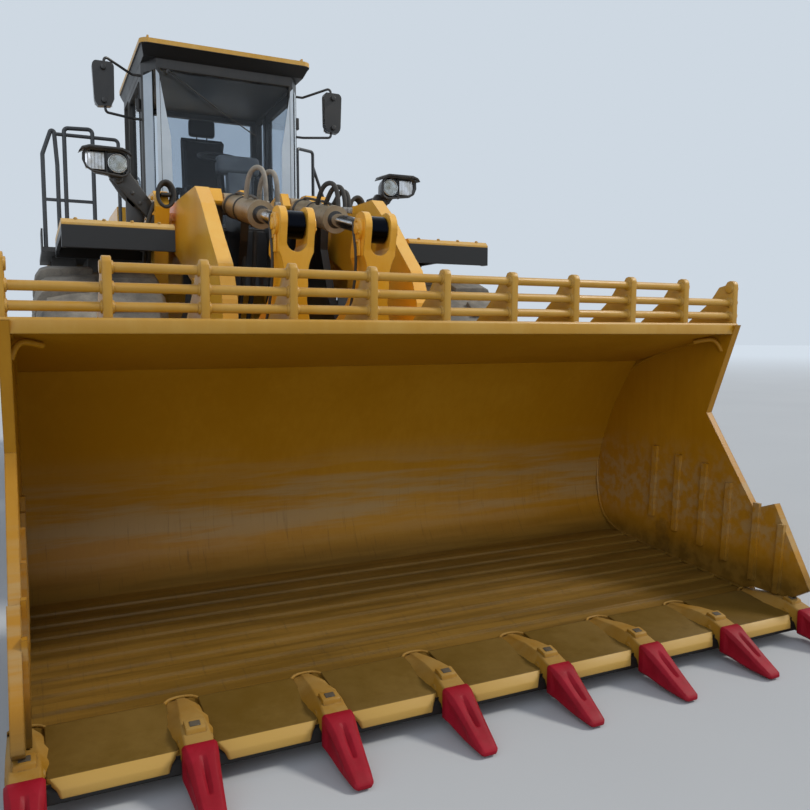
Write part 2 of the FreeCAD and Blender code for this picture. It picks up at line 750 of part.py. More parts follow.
# Links from the bell cranks to the bucket
link_walk = [
    (dim.link_lug_y - 20, dim.link_lug_z - 80, 82), (dim.crank_low_y - 20, dim.crank_low_z - 82),
    (dim.crank_low_y + 20, dim.crank_low_z + 82, 83), (dim.link_lug_y + 20, dim.link_lug_z + 80),
]
link_bore = pin_x((eye_span[0] - 5, eye_span[1] + 5), *link_lug, dim.pin_radius + gap)
link = cut(plate(link_walk, eye_span, "link_bar"), [link_bore], "link")
node(both_sides(link, "links"), "bucket_links")
doc.recompute()


# Cylinders
def lying_cylinder(x, base, eye, radii, barrel_end, rod_length, span, labels):
    """Barrel with a bore and base eye, and rod with its eye, both in a plane of constant X.

    The radii are the barrel's, the rod's, the neck's between a shaft and its eye, and the eyes'.
    """
    barrel_radius, rod_radius, neck_radius, eye_radius = radii
    neck_end, bore_start = 140, 150
    foot = pin_x(span, *base, eye_radius)
    base_neck = rod_yz(x, base, along(base, eye, Size(neck_end + 10)), neck_radius)
    tube = rod_yz(x, along(base, eye, neck_end), along(base, eye, barrel_end), barrel_radius)
    collar = rod_yz(x, along(base, eye, barrel_end - 70), along(base, eye, barrel_end), barrel_radius + 9)
    bore = rod_yz(x, along(base, eye, bore_start), along(base, eye, barrel_end + 10), rod_radius + gap)
    base_bore = pin_x((span[0] - 10, span[1] + 10), *base, dim.pin_radius + gap)
    node(both_sides(cut(join([foot, base_neck, tube, collar]), [bore, base_bore]), labels[0]), labels[0])
    reach = length_of(eye[0] - base[0], eye[1] - base[1])
    shaft = rod_yz(x, along(base, eye, reach - rod_length), along(base, eye, reach - neck_end), rod_radius)
    rod_neck = rod_yz(x, along(base, eye, reach - neck_end - 10), along(base, eye, reach), neck_radius)
    head = pin_x(span, *eye, eye_radius)
    node(both_sides(join([shaft, rod_neck, head]), labels[1]), labels[1])


lying_cylinder(dim.crank_x, tilt_base, crank_top, (dim.tilt_barrel_radius, dim.tilt_rod_radius, Size(43),
                                                   Size(80)),
               Size(930), Size(885), eye_span, ("tilt_barrels", "tilt_rods"))
lift_x = dim.arm_x + dim.arm_thickness / 2
lift_span = (lift_x - 38, lift_x + 38)
lying_cylinder(lift_x, lift_base, lift_eye, (dim.lift_barrel_radius, dim.lift_rod_radius, Size(36),
                                             dim.lift_eye_radius),
               Size(1275), Size(1265), lift_span, ("lift_barrels", "lift_rods"))
doc.recompute()

# Steering cylinders, one each side of the centre hinge
steer_z = 1000
steer_base = (330, hinge_y + 820)
steer_eye = (560, hinge_y - 530)


def steering_cylinder(side, label):
    dx, dy = steer_eye[0] - steer_base[0], steer_eye[1] - steer_base[1]
    reach = math.hypot(dx, dy)
    heading = Vector(side * dx / reach, dy / reach, 0)
    turn = Rotation(Vector(0, 0, 1), heading)
    start = Vector(side * steer_base[0], steer_base[1], steer_z)

    def shaft(radius, low, high):
        item = cylinder(radius, high - low)
        item.Placement = Placement(start + heading * float(low), turn)
        return item

    barrel = join([pin_z(side * steer_base[0], steer_base[1], (steer_z - 40, steer_z + 40), 60),
                   shaft(38, 0, 120), shaft(dim.steer_barrel_radius, 110, 880)])
    base_bore = pin_z(side * steer_base[0], steer_base[1], (steer_z - 50, steer_z + 50), 30.3)
    node(cut(barrel, [shaft(dim.steer_rod_radius + gap, 150, 900), base_bore]), "steer_barrel_" + label)
    rod = join([pin_z(side * steer_eye[0], steer_eye[1], (steer_z - 35, steer_z + 35), 60),
                shaft(dim.steer_rod_radius, reach - 815, reach)])
    node(rod, "steer_rod_" + label)


steering_cylinder(1, "left")
steering_cylinder(-1, "right")
doc.recompute()

# Front frame
plate_span = (dim.plate_x, dim.plate_x + dim.plate_thickness)
front_plate_walk = [
    (-1720, 760), (-820, 500), (0, 520), (200, 560), (200, 1500), (-250, 1700), (-560, 2100), (-560, 2500),
    (-700, 2560), (-1040, 2560), (-1140, 2420), (-1120, 2150), (-1300, 1750), (-1720, 1300),
]
main_plate = plate(front_plate_walk, plate_span, "main_plate")
tower_walk = [
    (dim.arm_pin_y - 190, dim.arm_pin_z - 60), (dim.arm_pin_y - 120, dim.arm_pin_z - 420),
    (dim.arm_pin_y + 255, dim.arm_pin_z - 420), (dim.arm_pin_y + 255, dim.arm_pin_z + 60),
    (dim.arm_pin_y + 80, dim.arm_pin_z + 245), (dim.arm_pin_y - 180, dim.arm_pin_z + 245),
    (dim.arm_pin_y - 280, dim.arm_pin_z + 120),
]
tower_plate = plate(tower_walk, (dim.tower_x, dim.tower_x + dim.tower_thickness), "tower_plate")
inner_tower_walk = [
    (dim.tilt_base_y - 125, dim.tilt_base_z), (dim.arm_pin_y - 200, dim.arm_pin_z - 80),
    (dim.arm_pin_y - 100, dim.arm_pin_z - 300), (dim.arm_pin_y + 255, dim.arm_pin_z - 300),
    (dim.arm_pin_y + 255, dim.arm_pin_z + 120), (dim.arm_pin_y + 120, dim.arm_pin_z + 250),
    (dim.tilt_base_y + 40, dim.tilt_base_z + 105), (dim.tilt_base_y - 60, dim.tilt_base_z + 100),
]
lug_out = (fork_span[1] + 10, arm_span[0] - 60)
inner_lug = plate(inner_tower_walk, lug_out, "inner_lug")
centre_lug = plate(inner_tower_walk, (fork_span[0] - 70, fork_span[0] - 10), "centre_lug")
tilt_pin = pin_x((fork_span[0] - 80, lug_out[1]), *tilt_base, dim.pin_radius)
arm_axle = pin_x((lug_out[1] - 30, dim.tower_x + dim.tower_thickness + 15), *arm_pin, dim.pin_radius)
back_wall = box((ZERO, dim.tower_x + dim.tower_thickness), (dim.arm_pin_y + 195, dim.arm_pin_y + 255),
                (dim.arm_pin_z - 420, dim.arm_pin_z + 40))
base_lug_walk = [
    (dim.lift_base_y - 120, dim.lift_base_z - 70), (dim.lift_base_y + 60, dim.lift_base_z - 120),
    (dim.lift_base_y + 240, dim.lift_base_z - 120), (dim.lift_base_y + 240, dim.lift_base_z + 200),
    (dim.lift_base_y, dim.lift_base_z + 120),
]
base_lug = plate(base_lug_walk, (lift_span[1] + 12, lift_span[1] + 62), "base_lug")
base_back = box((plate_span[0], lift_span[1] + 62), (dim.lift_base_y + 180, dim.lift_base_y + 240),
                (dim.lift_base_z - 120, dim.lift_base_z + 200))
lift_pin = pin_x((plate_span[0], lift_span[1] + 75), *lift_base, dim.pin_radius)
axle_seat = box((ZERO, dim.plate_x + 10), (dim.front_axle_y - 230, dim.front_axle_y + 230),
                (dim.tyre_radius + dim.axle_radius + gap, dim.tyre_radius + dim.axle_radius + 60))
front_wall = box((ZERO, dim.plate_x + 10), (-1700, -1640), (dim.tyre_radius + 60, 1250))
rear_wall = box((ZERO, dim.plate_x + 10), (-60, 0), (540, 1480))
steer_ear = [slab("XY", [(dim.plate_x + 10, steer_eye[1] - 160), (steer_eye[0] + 70, steer_eye[1] - 60),
                         (steer_eye[0] + 70, steer_eye[1] + 70), (dim.plate_x + 10, steer_eye[1] + 80)],
                  (low, low + 30)) for low in (Size(steer_z - 75), Size(steer_z + 45))]


def hinge_ear(z):
    return slab("XY", [(ZERO, hinge_y - 700), (dim.plate_x + 20, hinge_y - 500),
                       (dim.hinge_lug_radius, hinge_y - 30),
                       (dim.hinge_lug_radius, hinge_y), (ZERO, hinge_y + dim.hinge_lug_radius, 44)],
                (z, z + dim.hinge_plate))


ears = [hinge_ear(dim.low_hinge_z), hinge_ear(dim.high_hinge_z)]
steer_slot = box((-600, 600), (hinge_y - 440, hinge_y + 100), (steer_z - 90, steer_z + 90))
half_front = join([main_plate, tower_plate, inner_lug, centre_lug, tilt_pin, arm_axle, back_wall, base_lug,
                   base_back,
                   lift_pin, axle_seat, front_wall, rear_wall] + steer_ear + ears)
front_bores = [pin_z(ZERO, hinge_y, (Size(0), Size(3000)), dim.hinge_pin_radius + gap)]
axle_room = pin_x((-2000, 2000), dim.front_axle_y, dim.tyre_radius, dim.axle_radius + gap)
front_whole = cut(join([half_front, mirrored(half_front)]), front_bores + [axle_room, steer_slot])
node(front_whole, "front_frame")


def axle(y, ahead, shaft_length, label):
    """Axle housing: banjo, tapered arms, flanged hubs and planetary caps, with its pinion and shaft."""
    flange_x = dim.track / 2 + dim.disc_x - 20 - gap
    brake_x = dim.track / 2 - dim.tyre_width / 2 + 30
    cap_end = dim.track / 2 + dim.disc_x + 95
    right = [
        (dim.plate_x + 60, dim.axle_radius), (brake_x - 120, dim.axle_radius - 55),
        (brake_x, dim.axle_radius - 55),
        (brake_x, dim.hub_radius + 20), (brake_x + 60, dim.hub_radius + 20), (brake_x + 60, dim.hub_radius),
        (flange_x, dim.hub_radius), (flange_x, dim.hub_cap_radius), (cap_end - 30, dim.hub_cap_radius),
        (cap_end, dim.hub_cap_radius - 40), (cap_end, ZERO),
    ]
    left = [(-p[0], p[1]) for p in reversed(right)]
    housing = move_to(spun(right + left, "axle_housing"), ZERO, y, dim.tyre_radius)
    nose = rod_yz(ZERO, (y, dim.tyre_radius), (y + ahead * 330, dim.tyre_radius), dim.axle_radius - 65)
    shaft = rod_yz(ZERO, (y + ahead * 320, dim.tyre_radius), (y + ahead * shaft_length, dim.tyre_radius),
                   Size(48))
    return node(join([housing, nose, shaft], label), label)


axle(dim.front_axle_y, 1, dim.hinge_from_axle - 615 - gap, "front_axle")


def fender(axle_y, label, half_span, drop, top, inner_x):
    """A cranked fender over a wheel, with a lip down its outer side."""
    skin = 30
    top_walk = [
        (axle_y - half_span, top - drop), (axle_y - half_span, top - 25), (axle_y - half_span + 30, top),
        (axle_y + half_span, top), (axle_y + half_span + 60, top - 130), (axle_y + half_span + 30, top - 130),
        (axle_y + half_span - 15, top - skin), (axle_y - half_span + skin, top - skin),
        (axle_y - half_span + skin, top - drop),
    ]
    lip_walk = [
        (axle_y - half_span, top - drop), (axle_y - half_span, top - 25), (axle_y - half_span + 30, top),
        (axle_y + half_span, top), (axle_y + half_span + 60, top - 130), (axle_y + half_span - 30, top - 90),
        (axle_y - half_span + 60, top - 90), (axle_y - half_span + 60, top - drop),
    ]
    outer_x = dim.fender_outer_x
    return both_sides(join([plate(top_walk, (inner_x, outer_x), "fender_top"),
                            plate(lip_walk, (outer_x - 25, outer_x), "fender_lip")], "fender"), label)


tower_side = dim.tower_x + dim.tower_thickness
node(fender(dim.front_axle_y, "front_fenders", 560, 170, Size(2175), tower_side), "front_fenders")

# Headlamps: a rounded housing under a peak on a slanted arm
lamp_y = (dim.lamp_y - 75, dim.lamp_y + 75)
lamp_face = [
    (Size(1062), dim.lamp_z - 70), (Size(1262), dim.lamp_z - 52), (Size(1290), dim.lamp_z + 10, 10),
    (Size(1268), dim.lamp_z + 62, 10), (Size(1075), dim.lamp_z + 68), (Size(1045), dim.lamp_z, 12),
]
lamp_peak = [(Size(1040), dim.lamp_z + 40), (Size(1300), dim.lamp_z + 40), (Size(1285), dim.lamp_z + 76),
             (Size(1060), dim.lamp_z + 82)]
lamp_arm = [(tower_side, Size(2290)), (Size(1180), dim.lamp_z - 120), (Size(1230), dim.lamp_z - 50),
            (Size(1075), dim.lamp_z - 50),
            (tower_side, Size(2440))]
lenses = [move_to(cylinder(radius, 30, "lens_seat"), x, dim.lamp_y - 50, dim.lamp_z) for x,
          radius in ((1105, 44), (1212, 44))]
for lens in lenses:
    lens.Placement.Rotation = Rotation(Vector(1, 0, 0), 90)
lamp_parts = [cut(slab("XZ", lamp_face, lamp_y, "lamp_housing"), lenses, "lamp_hollow"),
              slab("XZ", lamp_peak, (lamp_y[0] - 35, lamp_y[1]), "lamp_peak"),
              box((Size(870), Size(990)), (dim.lamp_y + 25, dim.lamp_y + 55), (Size(2176), Size(2480))),
              slab("XZ", lamp_arm, (dim.lamp_y + 25, dim.lamp_y + 60), "lamp_arm")]
node(both_sides(join(lamp_parts), "headlamps"), "headlamps")
doc.recompute()

# Rear frame
rear_span = (dim.rear_plate_x, dim.rear_plate_x + dim.rear_plate_thickness)
rear_plate_walk = [
    (hinge_y + 320, 560), (rear_axle_y - 500, 620), (rear_axle_y + 500, 820), (dim.rear_reach - 500, 840),
    (dim.rear_reach - 500, 1400), (rear_axle_y - 700, 1450), (hinge_y + 320, 1560),
]
rear_plate = plate(rear_plate_walk, rear_span, "rear_plate")
nose = box((ZERO, rear_span[1]), (hinge_y + 320, hinge_y + 380),
           (dim.low_hinge_z - 100, dim.high_hinge_z + 180))


def hinge_fork(z):
    parts = []
    for low in (z - dim.hinge_plate - 8, z + dim.hinge_plate + 8):
        parts.append(slab("XY", [(ZERO, hinge_y + 340), (ZERO, hinge_y - 130), (Size(130), hinge_y, 38),
                                 (rear_span[0], hinge_y + 340)], (low, low + dim.hinge_plate)))
    parts.append(pin_z(ZERO, hinge_y, (z - dim.hinge_plate - 20, z + 2 * dim.hinge_plate + 20),
                       dim.hinge_pin_radius))
    return parts


rear_cross = [box((ZERO, rear_span[1]), (rear_axle_y + 900, rear_axle_y + 960), (900, 1350)),
              box((ZERO, rear_span[1]), (hinge_y + 1000, hinge_y + 1060), (640, 1500))]
rear_seat = box((ZERO, rear_span[1]), (rear_axle_y - 240, rear_axle_y + 240),
                (dim.tyre_radius + dim.axle_radius + gap, dim.tyre_radius + dim.axle_radius + 70))
steer_shelf = [box((Size(250), rear_span[0] + 10), (steer_base[1] - 45, steer_base[1] + 200), (low, low + 30))
               for low in (steer_z - 75, steer_z + 45)]
steer_room = box((-1000, 1000), (hinge_y + 200, steer_base[1] + 90), (steer_z - 75, steer_z + 75))
steer_pin = pin_z(Size(steer_base[0]), steer_base[1], (Size(steer_z - 60), Size(steer_z + 60)), 30)
cab_mount = box((Size(300), Size(690)), (hinge_y + 330, hinge_y + 1060), (1500, 1560))
cab_legs = [box((Size(560), Size(660)), (y, y + 120), (Size(1560), dim.cab_floor_z)) for y in (900, 1480)]
rail_top = dim.hood_low_z - gap
hood_beams = [box((ZERO, dim.hood_half_width), (y, y + 100), (Size(1380), rail_top))
              for y in (Size(1900), dim.rear_reach - 775)]
hood_rail = box((dim.hood_half_width - 60, dim.hood_half_width), (1830, dim.rear_reach - 560),
                (Size(1480), rail_top))
half_rear = join([cut(join([rear_plate, nose]), [steer_room])] + hinge_fork(dim.low_hinge_z)
                 + hinge_fork(dim.high_hinge_z) + rear_cross + [rear_seat] + steer_shelf
                 + [steer_pin, cab_mount, hood_rail] + cab_legs + hood_beams)
rear_room = pin_x((-2000, 2000), rear_axle_y, dim.tyre_radius, dim.axle_radius + gap)
node(cut(join([half_rear, mirrored(half_rear)]), [rear_room]), "rear_frame")
axle(rear_axle_y, -1, dim.wheelbase - dim.hinge_from_axle - 1060 - gap, "rear_axle")
node(box((-dim.rear_plate_x, dim.rear_plate_x), (2150, 3300), (Size(1420), Size(2150))), "engine_block")

# Counterweight: its side outline cut by its outline from above, with the towing slot and pin
tail_y = dim.rear_reach
tail_walk = [
    (tail_y - 560, dim.tail_low_z + 120), (tail_y - 60, dim.tail_low_z), (tail_y, dim.tail_low_z + 90),
    (tail_y, dim.tail_top_z - 60, 6), (tail_y - 60, dim.tail_top_z, 12), (tail_y - 500, dim.tail_top_z),
]
tail_half = dim.tail_half_width
tail_plan = [
    (-tail_half, tail_y - 560), (tail_half, tail_y - 560), (tail_half, tail_y - 300),
    (tail_half - 190, tail_y - 40, 36),
    (tail_half - 330, tail_y), (-tail_half + 330, tail_y), (-tail_half + 190, tail_y - 40),
    (-tail_half, tail_y - 300, 36),
]
tail_blank = doc.addObject("Part::MultiCommon", "tail_blank")
tail_blank.Shapes = [plate(tail_walk, (-tail_half, tail_half), "tail_side"),
                     slab("XY", tail_plan, (dim.tail_low_z - 10, dim.tail_top_z + 10), "tail_plan")]
tow_z = dim.tail_low_z + 240
tow_y = tail_y - 90
lamp_recess = box((tail_half - 420, tail_half - 200), (tail_y - 60, tail_y + 10),
                  (dim.tail_top_z - 260, dim.tail_top_z - 150))
tail_cuts = [box((-rear_span[1], rear_span[1]), (0, tail_y - 499), (0, 3000)),
             box((-90, 90), (tail_y - 170, tail_y + 10), (tow_z - 60, tow_z + 60)),
             pin_z(ZERO, tow_y, (ZERO, tow_z + 180), dim.tow_bore_radius), lamp_recess, mirrored(lamp_recess)]
hood_pin = (tail_y - 135, dim.hood_low_z + 65)
hood_lug_walk = [
    (hood_pin[0] - 55, dim.tail_top_z - 20), (hood_pin[0] + 55, dim.tail_top_z - 20),
    (hood_pin[0] + 42, hood_pin[1], 5),
    (hood_pin[0], hood_pin[1] + 42, 12), (hood_pin[0] - 42, hood_pin[1], 12),
]
hood_lug = plate(hood_lug_walk, (dim.hood_half_width - 90, dim.hood_half_width - dim.hood_wall - 6), "hood_lug")
hood_pivot = pin_x((dim.hood_half_width - 90, dim.hood_half_width + 6), *hood_pin, dim.hood_pin_radius,
                   "hood_pivot")
tail_side = join([hood_lug, hood_pivot], "tail_hinge")
node(join([cut(tail_blank, tail_cuts), tail_side, mirrored(tail_side)]), "counterweight")

fender_front_y = rear_axle_y - 760
node(fender(rear_axle_y, "rear_fenders", 760, 500, dim.platform_z + 40, Size(800)), "rear_fenders")

# Platforms beside the cab, each with its tank below, and the ladders up to them
deck_walk = [
    (Size(720), Size(700)), (Size(720), dim.platform_front_y), (dim.platform_half_width, dim.platform_front_y),
    (dim.platform_half_width, fender_front_y), (Size(720), fender_front_y),
]
deck = slab("XY", deck_walk, (dim.platform_z, dim.platform_z + 40))
toe_board = box((dim.platform_half_width - 14, dim.platform_half_width), (dim.platform_front_y, Size(680)),
                (dim.platform_z, dim.platform_z + 190))
tank_x = (dim.cab_half_width, Size(1150))
tank_side = [(tank_x[0], Size(1190)), (Size(1030), Size(1150)), (tank_x[1], Size(1290)),
             (tank_x[1], dim.platform_z),
             (tank_x[0], dim.platform_z)]
tank = slab("XZ", tank_side, (Size(750), Size(1420)), "tank")
node(both_sides(join([deck, toe_board, tank])), "platforms")
ladder_x = (Size(1250), Size(1450))
ladder_parts = [box(ladder_x, (y, y + 25), (Size(430), dim.platform_z)) for y in (700, 1275)]
ladder_parts += [box(ladder_x, (710, 1290), (step, step + 30)) for step in (460, 800, 1140, 1480, 1820)]
ladder_parts += [box((tank_x[1], ladder_x[0] + 20), (y, y + 25), (Size(1500), Size(1560))) for y in (760, 1215)]
node(both_sides(join(ladder_parts)), "ladders")

# Cab
cab_rear_y = dim.cab_front_y + dim.cab_length
corner_y = dim.cab_front_y + dim.cab_corner


def cab_outline(inset):
    """The cab's outline from above, moved inwards: its front corners are cut off."""
    side, front = dim.cab_half_width - inset, dim.cab_front_half - inset * 0.6
    return [(-front, dim.cab_front_y + inset), (front, dim.cab_front_y + inset), (side, corner_y + inset * 0.4),
            (side, cab_rear_y - inset), (-side, cab_rear_y - inset), (-side, corner_y + inset * 0.4)]


cab_outer = slab("XY", cab_outline(ZERO), (dim.cab_floor_z, dim.cab_top_z), "cab_outer")
cab_hollow = slab("XY", cab_outline(dim.cab_wall), (dim.cab_floor_z + 50, dim.cab_top_z - 40), "cab_hollow")
window_top = dim.cab_top_z - 90
front_low = dim.sill_z - 330
window_front = box((-dim.cab_front_half + 35, dim.cab_front_half - 35),
                   (dim.cab_front_y - 10, dim.cab_front_y + 100),
                   (front_low, window_top))
window_rear = box((-dim.cab_half_width + 110, dim.cab_half_width - 110), (cab_rear_y - 100, cab_rear_y + 10),
                  (dim.sill_z, window_top))
corner_window_walk = [
    (dim.cab_front_half + 24, dim.cab_front_y - 30), (dim.cab_half_width + 40, corner_y - 60),
    (dim.cab_half_width - 80, corner_y - 10), (dim.cab_front_half - 80, dim.cab_front_y + 80),
]
corner_window = slab("XY", corner_window_walk, (front_low, window_top), "corner_window")
door_y = (corner_y + 45, corner_y + 890)
door_z = (dim.platform_z + 50, dim.cab_top_z - 70)
window_side = box((-dim.cab_half_width - 10, dim.cab_half_width + 10), (door_y[1] + 60, cab_rear_y - 80),
                  (dim.sill_z, window_top))
door_room = box((-dim.cab_half_width - 10, dim.cab_half_width + 10), door_y, door_z)
hinge_line = (dim.cab_half_width + 22, door_y[0] + 6)
hinge_knuckle = 90
hinge_places = (2500, 3450)


def cab_hinge(low):
    """The cab's half of a door hinge: a bracket under the knuckle with its pin."""
    top = low - 4
    return join([box((dim.cab_half_width - 10, dim.cab_half_width + 32),
                     (hinge_line[1] - 36, hinge_line[1] - 4), (top - 12, top)),
                 pin_z(*hinge_line, (top - 12, top), 14),
                 pin_z(*hinge_line, (top - 2, low + hinge_knuckle), 10)])


cab_hinges = join([cab_hinge(Size(low)) for low in hinge_places], "cab_hinges")
cab_walls = cut(cab_outer, [cab_hollow, window_front, window_rear, window_side, door_room, corner_window,
                            mirrored(corner_window)], "cab_walls")
node(both_joined(cab_hinges, [cab_walls], "cab_shell"), "cab_shell")

# Roof: a liner that widens upwards, the roof sheet, its raised middle and four lifting lugs
roof_y = (dim.cab_front_y - 130, cab_rear_y + 60)
liner_z = (dim.cab_top_z, dim.cab_top_z + 70)
liner_walk = [(dim.cab_front_y - 10, liner_z[0]), (cab_rear_y, liner_z[0]), (roof_y[1] - 12, liner_z[1]),
              (roof_y[0] + 12, liner_z[1])]
liner_front = [(-dim.cab_half_width, liner_z[0]), (dim.cab_half_width, liner_z[0]),
               (dim.roof_half_width - 12, liner_z[1]),
               (-dim.roof_half_width + 12, liner_z[1])]
liner = doc.addObject("Part::MultiCommon", "roof_liner")
liner.Shapes = [plate(liner_walk, (-dim.roof_half_width, dim.roof_half_width)), slab("XZ", liner_front, roof_y)]
roof_half = dim.roof_half_width
roof_plan = [
    (-roof_half + 60, roof_y[0], 12), (roof_half - 60, roof_y[0]), (roof_half, roof_y[0] + 60, 12),
    (roof_half, roof_y[1] - 60), (roof_half - 60, roof_y[1], 12), (-roof_half + 60, roof_y[1]),
    (-roof_half, roof_y[1] - 60, 12), (-roof_half, roof_y[0] + 60),
]
roof_sheet = slab("XY", roof_plan, (liner_z[1], liner_z[1] + 42), "roof_sheet")
roof_crown = [(roof_y[0] + 60, liner_z[1] + 40), (roof_y[1] - 120, liner_z[1] + 40),
              (roof_y[1] - 150, liner_z[1] + 70),
              (roof_y[0] + 85, liner_z[1] + 70)]
crown = plate(roof_crown, (-roof_half + 230, roof_half - 230), "roof_crown")
roof_lugs = [box((x - 8, x + 8), (y - 30, y + 30), (liner_z[1] + 40, liner_z[1] + 78))
             for x in (roof_half - 70, -roof_half + 70) for y in (roof_y[0] + 80, roof_y[1] - 80)]
node(join([liner, roof_sheet, crown] + roof_lugs), "cab_roof")

pane = 8
corner_pane_walk = [
    (dim.cab_front_half + 24, dim.cab_front_y + 44), (dim.cab_half_width - 14, corner_y - 4),
    (dim.cab_half_width - 22, corner_y + 2), (dim.cab_front_half + 16, dim.cab_front_y + 50),
]
corner_tool = [slab("XY", corner_window_walk, (front_low, window_top), "corner_room")]
corner_glass = doc.addObject("Part::MultiCommon", "corner_glass")
corner_glass.Shapes = [slab("XY", corner_pane_walk, (front_low, window_top), "corner_pane")] + corner_tool
glass = [
    box((-dim.cab_front_half + 35, dim.cab_front_half - 35),
        (dim.cab_front_y + 20, dim.cab_front_y + 20 + pane),
        (front_low, window_top)),
    box((-dim.cab_half_width + 110, dim.cab_half_width - 110), (cab_rear_y - 28, cab_rear_y - 28 + pane),
        (dim.sill_z, window_top)),
]
side_pane = box((dim.cab_half_width - 28, dim.cab_half_width - 28 + pane), (door_y[1] + 60, cab_rear_y - 80),
                (dim.sill_z, window_top))
node(group(glass + [side_pane, mirrored(side_pane), corner_glass, mirrored(corner_glass)]), "cab_glass")
door_gap = 6


def door(side, label):
    """A front-hinged door with its window and hinge knuckles, as thick as the wall."""
    leaf = box((dim.cab_half_width - dim.cab_wall + 10, dim.cab_half_width),
               (door_y[0] + door_gap, door_y[1] - door_gap),
               (door_z[0] + door_gap, door_z[1] - door_gap))
    glass_y = (door_y[0] + 70, door_y[1] - 70)
    glass_z = (door_z[0] + 330, door_z[1] - 70)
    window = box((dim.cab_half_width - dim.cab_wall, dim.cab_half_width + 5), glass_y, glass_z)
    parts = [cut(leaf, [window])]
    for low in hinge_places:
        parts.append(pin_z(*hinge_line, (Size(low), Size(low + hinge_knuckle)), 20))
        parts.append(box((dim.cab_half_width - 4, dim.cab_half_width + 12),
                         (hinge_line[1] + 8, hinge_line[1] + 60), (low, low + hinge_knuckle)))
    bores = [pin_z(*hinge_line, (Size(low - 10), Size(low + hinge_knuckle + 10)),
                   10 + gap) for low in hinge_places]
    left_door = cut(join(parts), bores, "left_door")
    left_glass = box((dim.cab_half_width - 30, dim.cab_half_width - 30 + pane), glass_y, glass_z)
    if side > 0:
        node(left_door, "door_" + label)
        node(left_glass, "door_glass_" + label)
    else:
        node(mirrored(left_door), "door_" + label)
        node(mirrored(left_glass), "door_glass_" + label)


door(1, "left")
door(-1, "right")

# Inside the cab
floor_z_cab = dim.cab_floor_z + 50
node(join([box((-240, 240), (740, 1220), (floor_z_cab, floor_z_cab + 400)),
           box((260, 450), (520, 1300), (floor_z_cab, floor_z_cab + 640)),
           box((230, 270), (740, 1220), (floor_z_cab, floor_z_cab + 380))]), "cab_console")
cushion = [(700, floor_z_cab + 410), (700, floor_z_cab + 480, 12), (760, floor_z_cab + 520, 14),
           (1150, floor_z_cab + 490),
           (1230, floor_z_cab + 400), (740, floor_z_cab + 400, 8)]
back = [(1120, floor_z_cab + 480), (1180, floor_z_cab + 1080), (1220, floor_z_cab + 1240),
        (1290, floor_z_cab + 1240, 14),
        (1330, floor_z_cab + 1180, 14), (1290, floor_z_cab + 1060), (1235, floor_z_cab + 400),
        (1150, floor_z_cab + 400)]
node(join([plate(cushion, (Size(-240), Size(240)), "cushion"), plate(back, (Size(-230), Size(230)), "back")]),
     "seat")
column = rod_yz(ZERO, (Size(302), floor_z_cab + 10), (Size(420), floor_z_cab + 700), Size(45))
dash_walk = [(dim.cab_front_y + 62, floor_z_cab), (380, floor_z_cab), (360, floor_z_cab + 560),
             (320, floor_z_cab + 640),
             (dim.cab_front_y + 62, floor_z_cab + 600)]
wheel_rim = doc.addObject("Part::Torus", "steering_wheel")
bind(wheel_rim, "Radius1", Size(195))
bind(wheel_rim, "Radius2", Size(16))
wheel_rim.Placement = Placement(Vector(0, 425, float(floor_z_cab) + 735), Rotation(Vector(1, 0, 0), -22))
hub = cylinder(50, 40, "wheel_hub")
hub.Placement = Placement(Vector(0, 418, float(floor_z_cab) + 700), Rotation(Vector(1, 0, 0), -22))
spokes = [box((-190, 190), (-14, 14), (0, 14)), box((-14, 14), (-190, 14), (0, 14))]
for spoke in spokes:
    spoke.Placement = Placement(Vector(0, 425, float(floor_z_cab) + 728),
                                Rotation(Vector(1, 0, 0), -22)) * spoke.Placement
node(join([column, plate(dash_walk, (Size(-330), Size(330)), "dash"), wheel_rim, hub] + spokes),
     "steering_column")


# Bent tubes
def bent_tube(points, radius, bend, name="tube"):
    """A round bar through points, bent to one radius at each inner one."""
    places = [Vector(*[float(value) for value in point]) for point in points]
    edges = []
    start = places[0]
    for before, corner, after in zip(places, places[1:], places[2:]):
        back_way = (before - corner).normalize()
        ahead_way = (after - corner).normalize()
        half_turn = (math.pi - back_way.getAngle(ahead_way)) / 2
        run = bend * math.tan(half_turn)
        inward = (back_way + ahead_way).normalize()
        middle = corner + inward * (bend / math.cos(half_turn) - bend)
        arc_start, arc_end = corner + back_way * run, corner + ahead_way * run
        edges.append(Part.LineSegment(start, arc_start).toShape())
        edges.append(Part.Arc(arc_start, middle, arc_end).toShape())
        start = arc_end
    edges.append(Part.LineSegment(start, places[-1]).toShape())
    ring = Part.Wire(Part.Circle(places[0], places[1] - places[0], float(radius)).toShape())
    item = doc.addObject("Part::Feature", name)
    item.Shape = Part.Wire(edges).makePipeShell([ring], True, False)
    return item


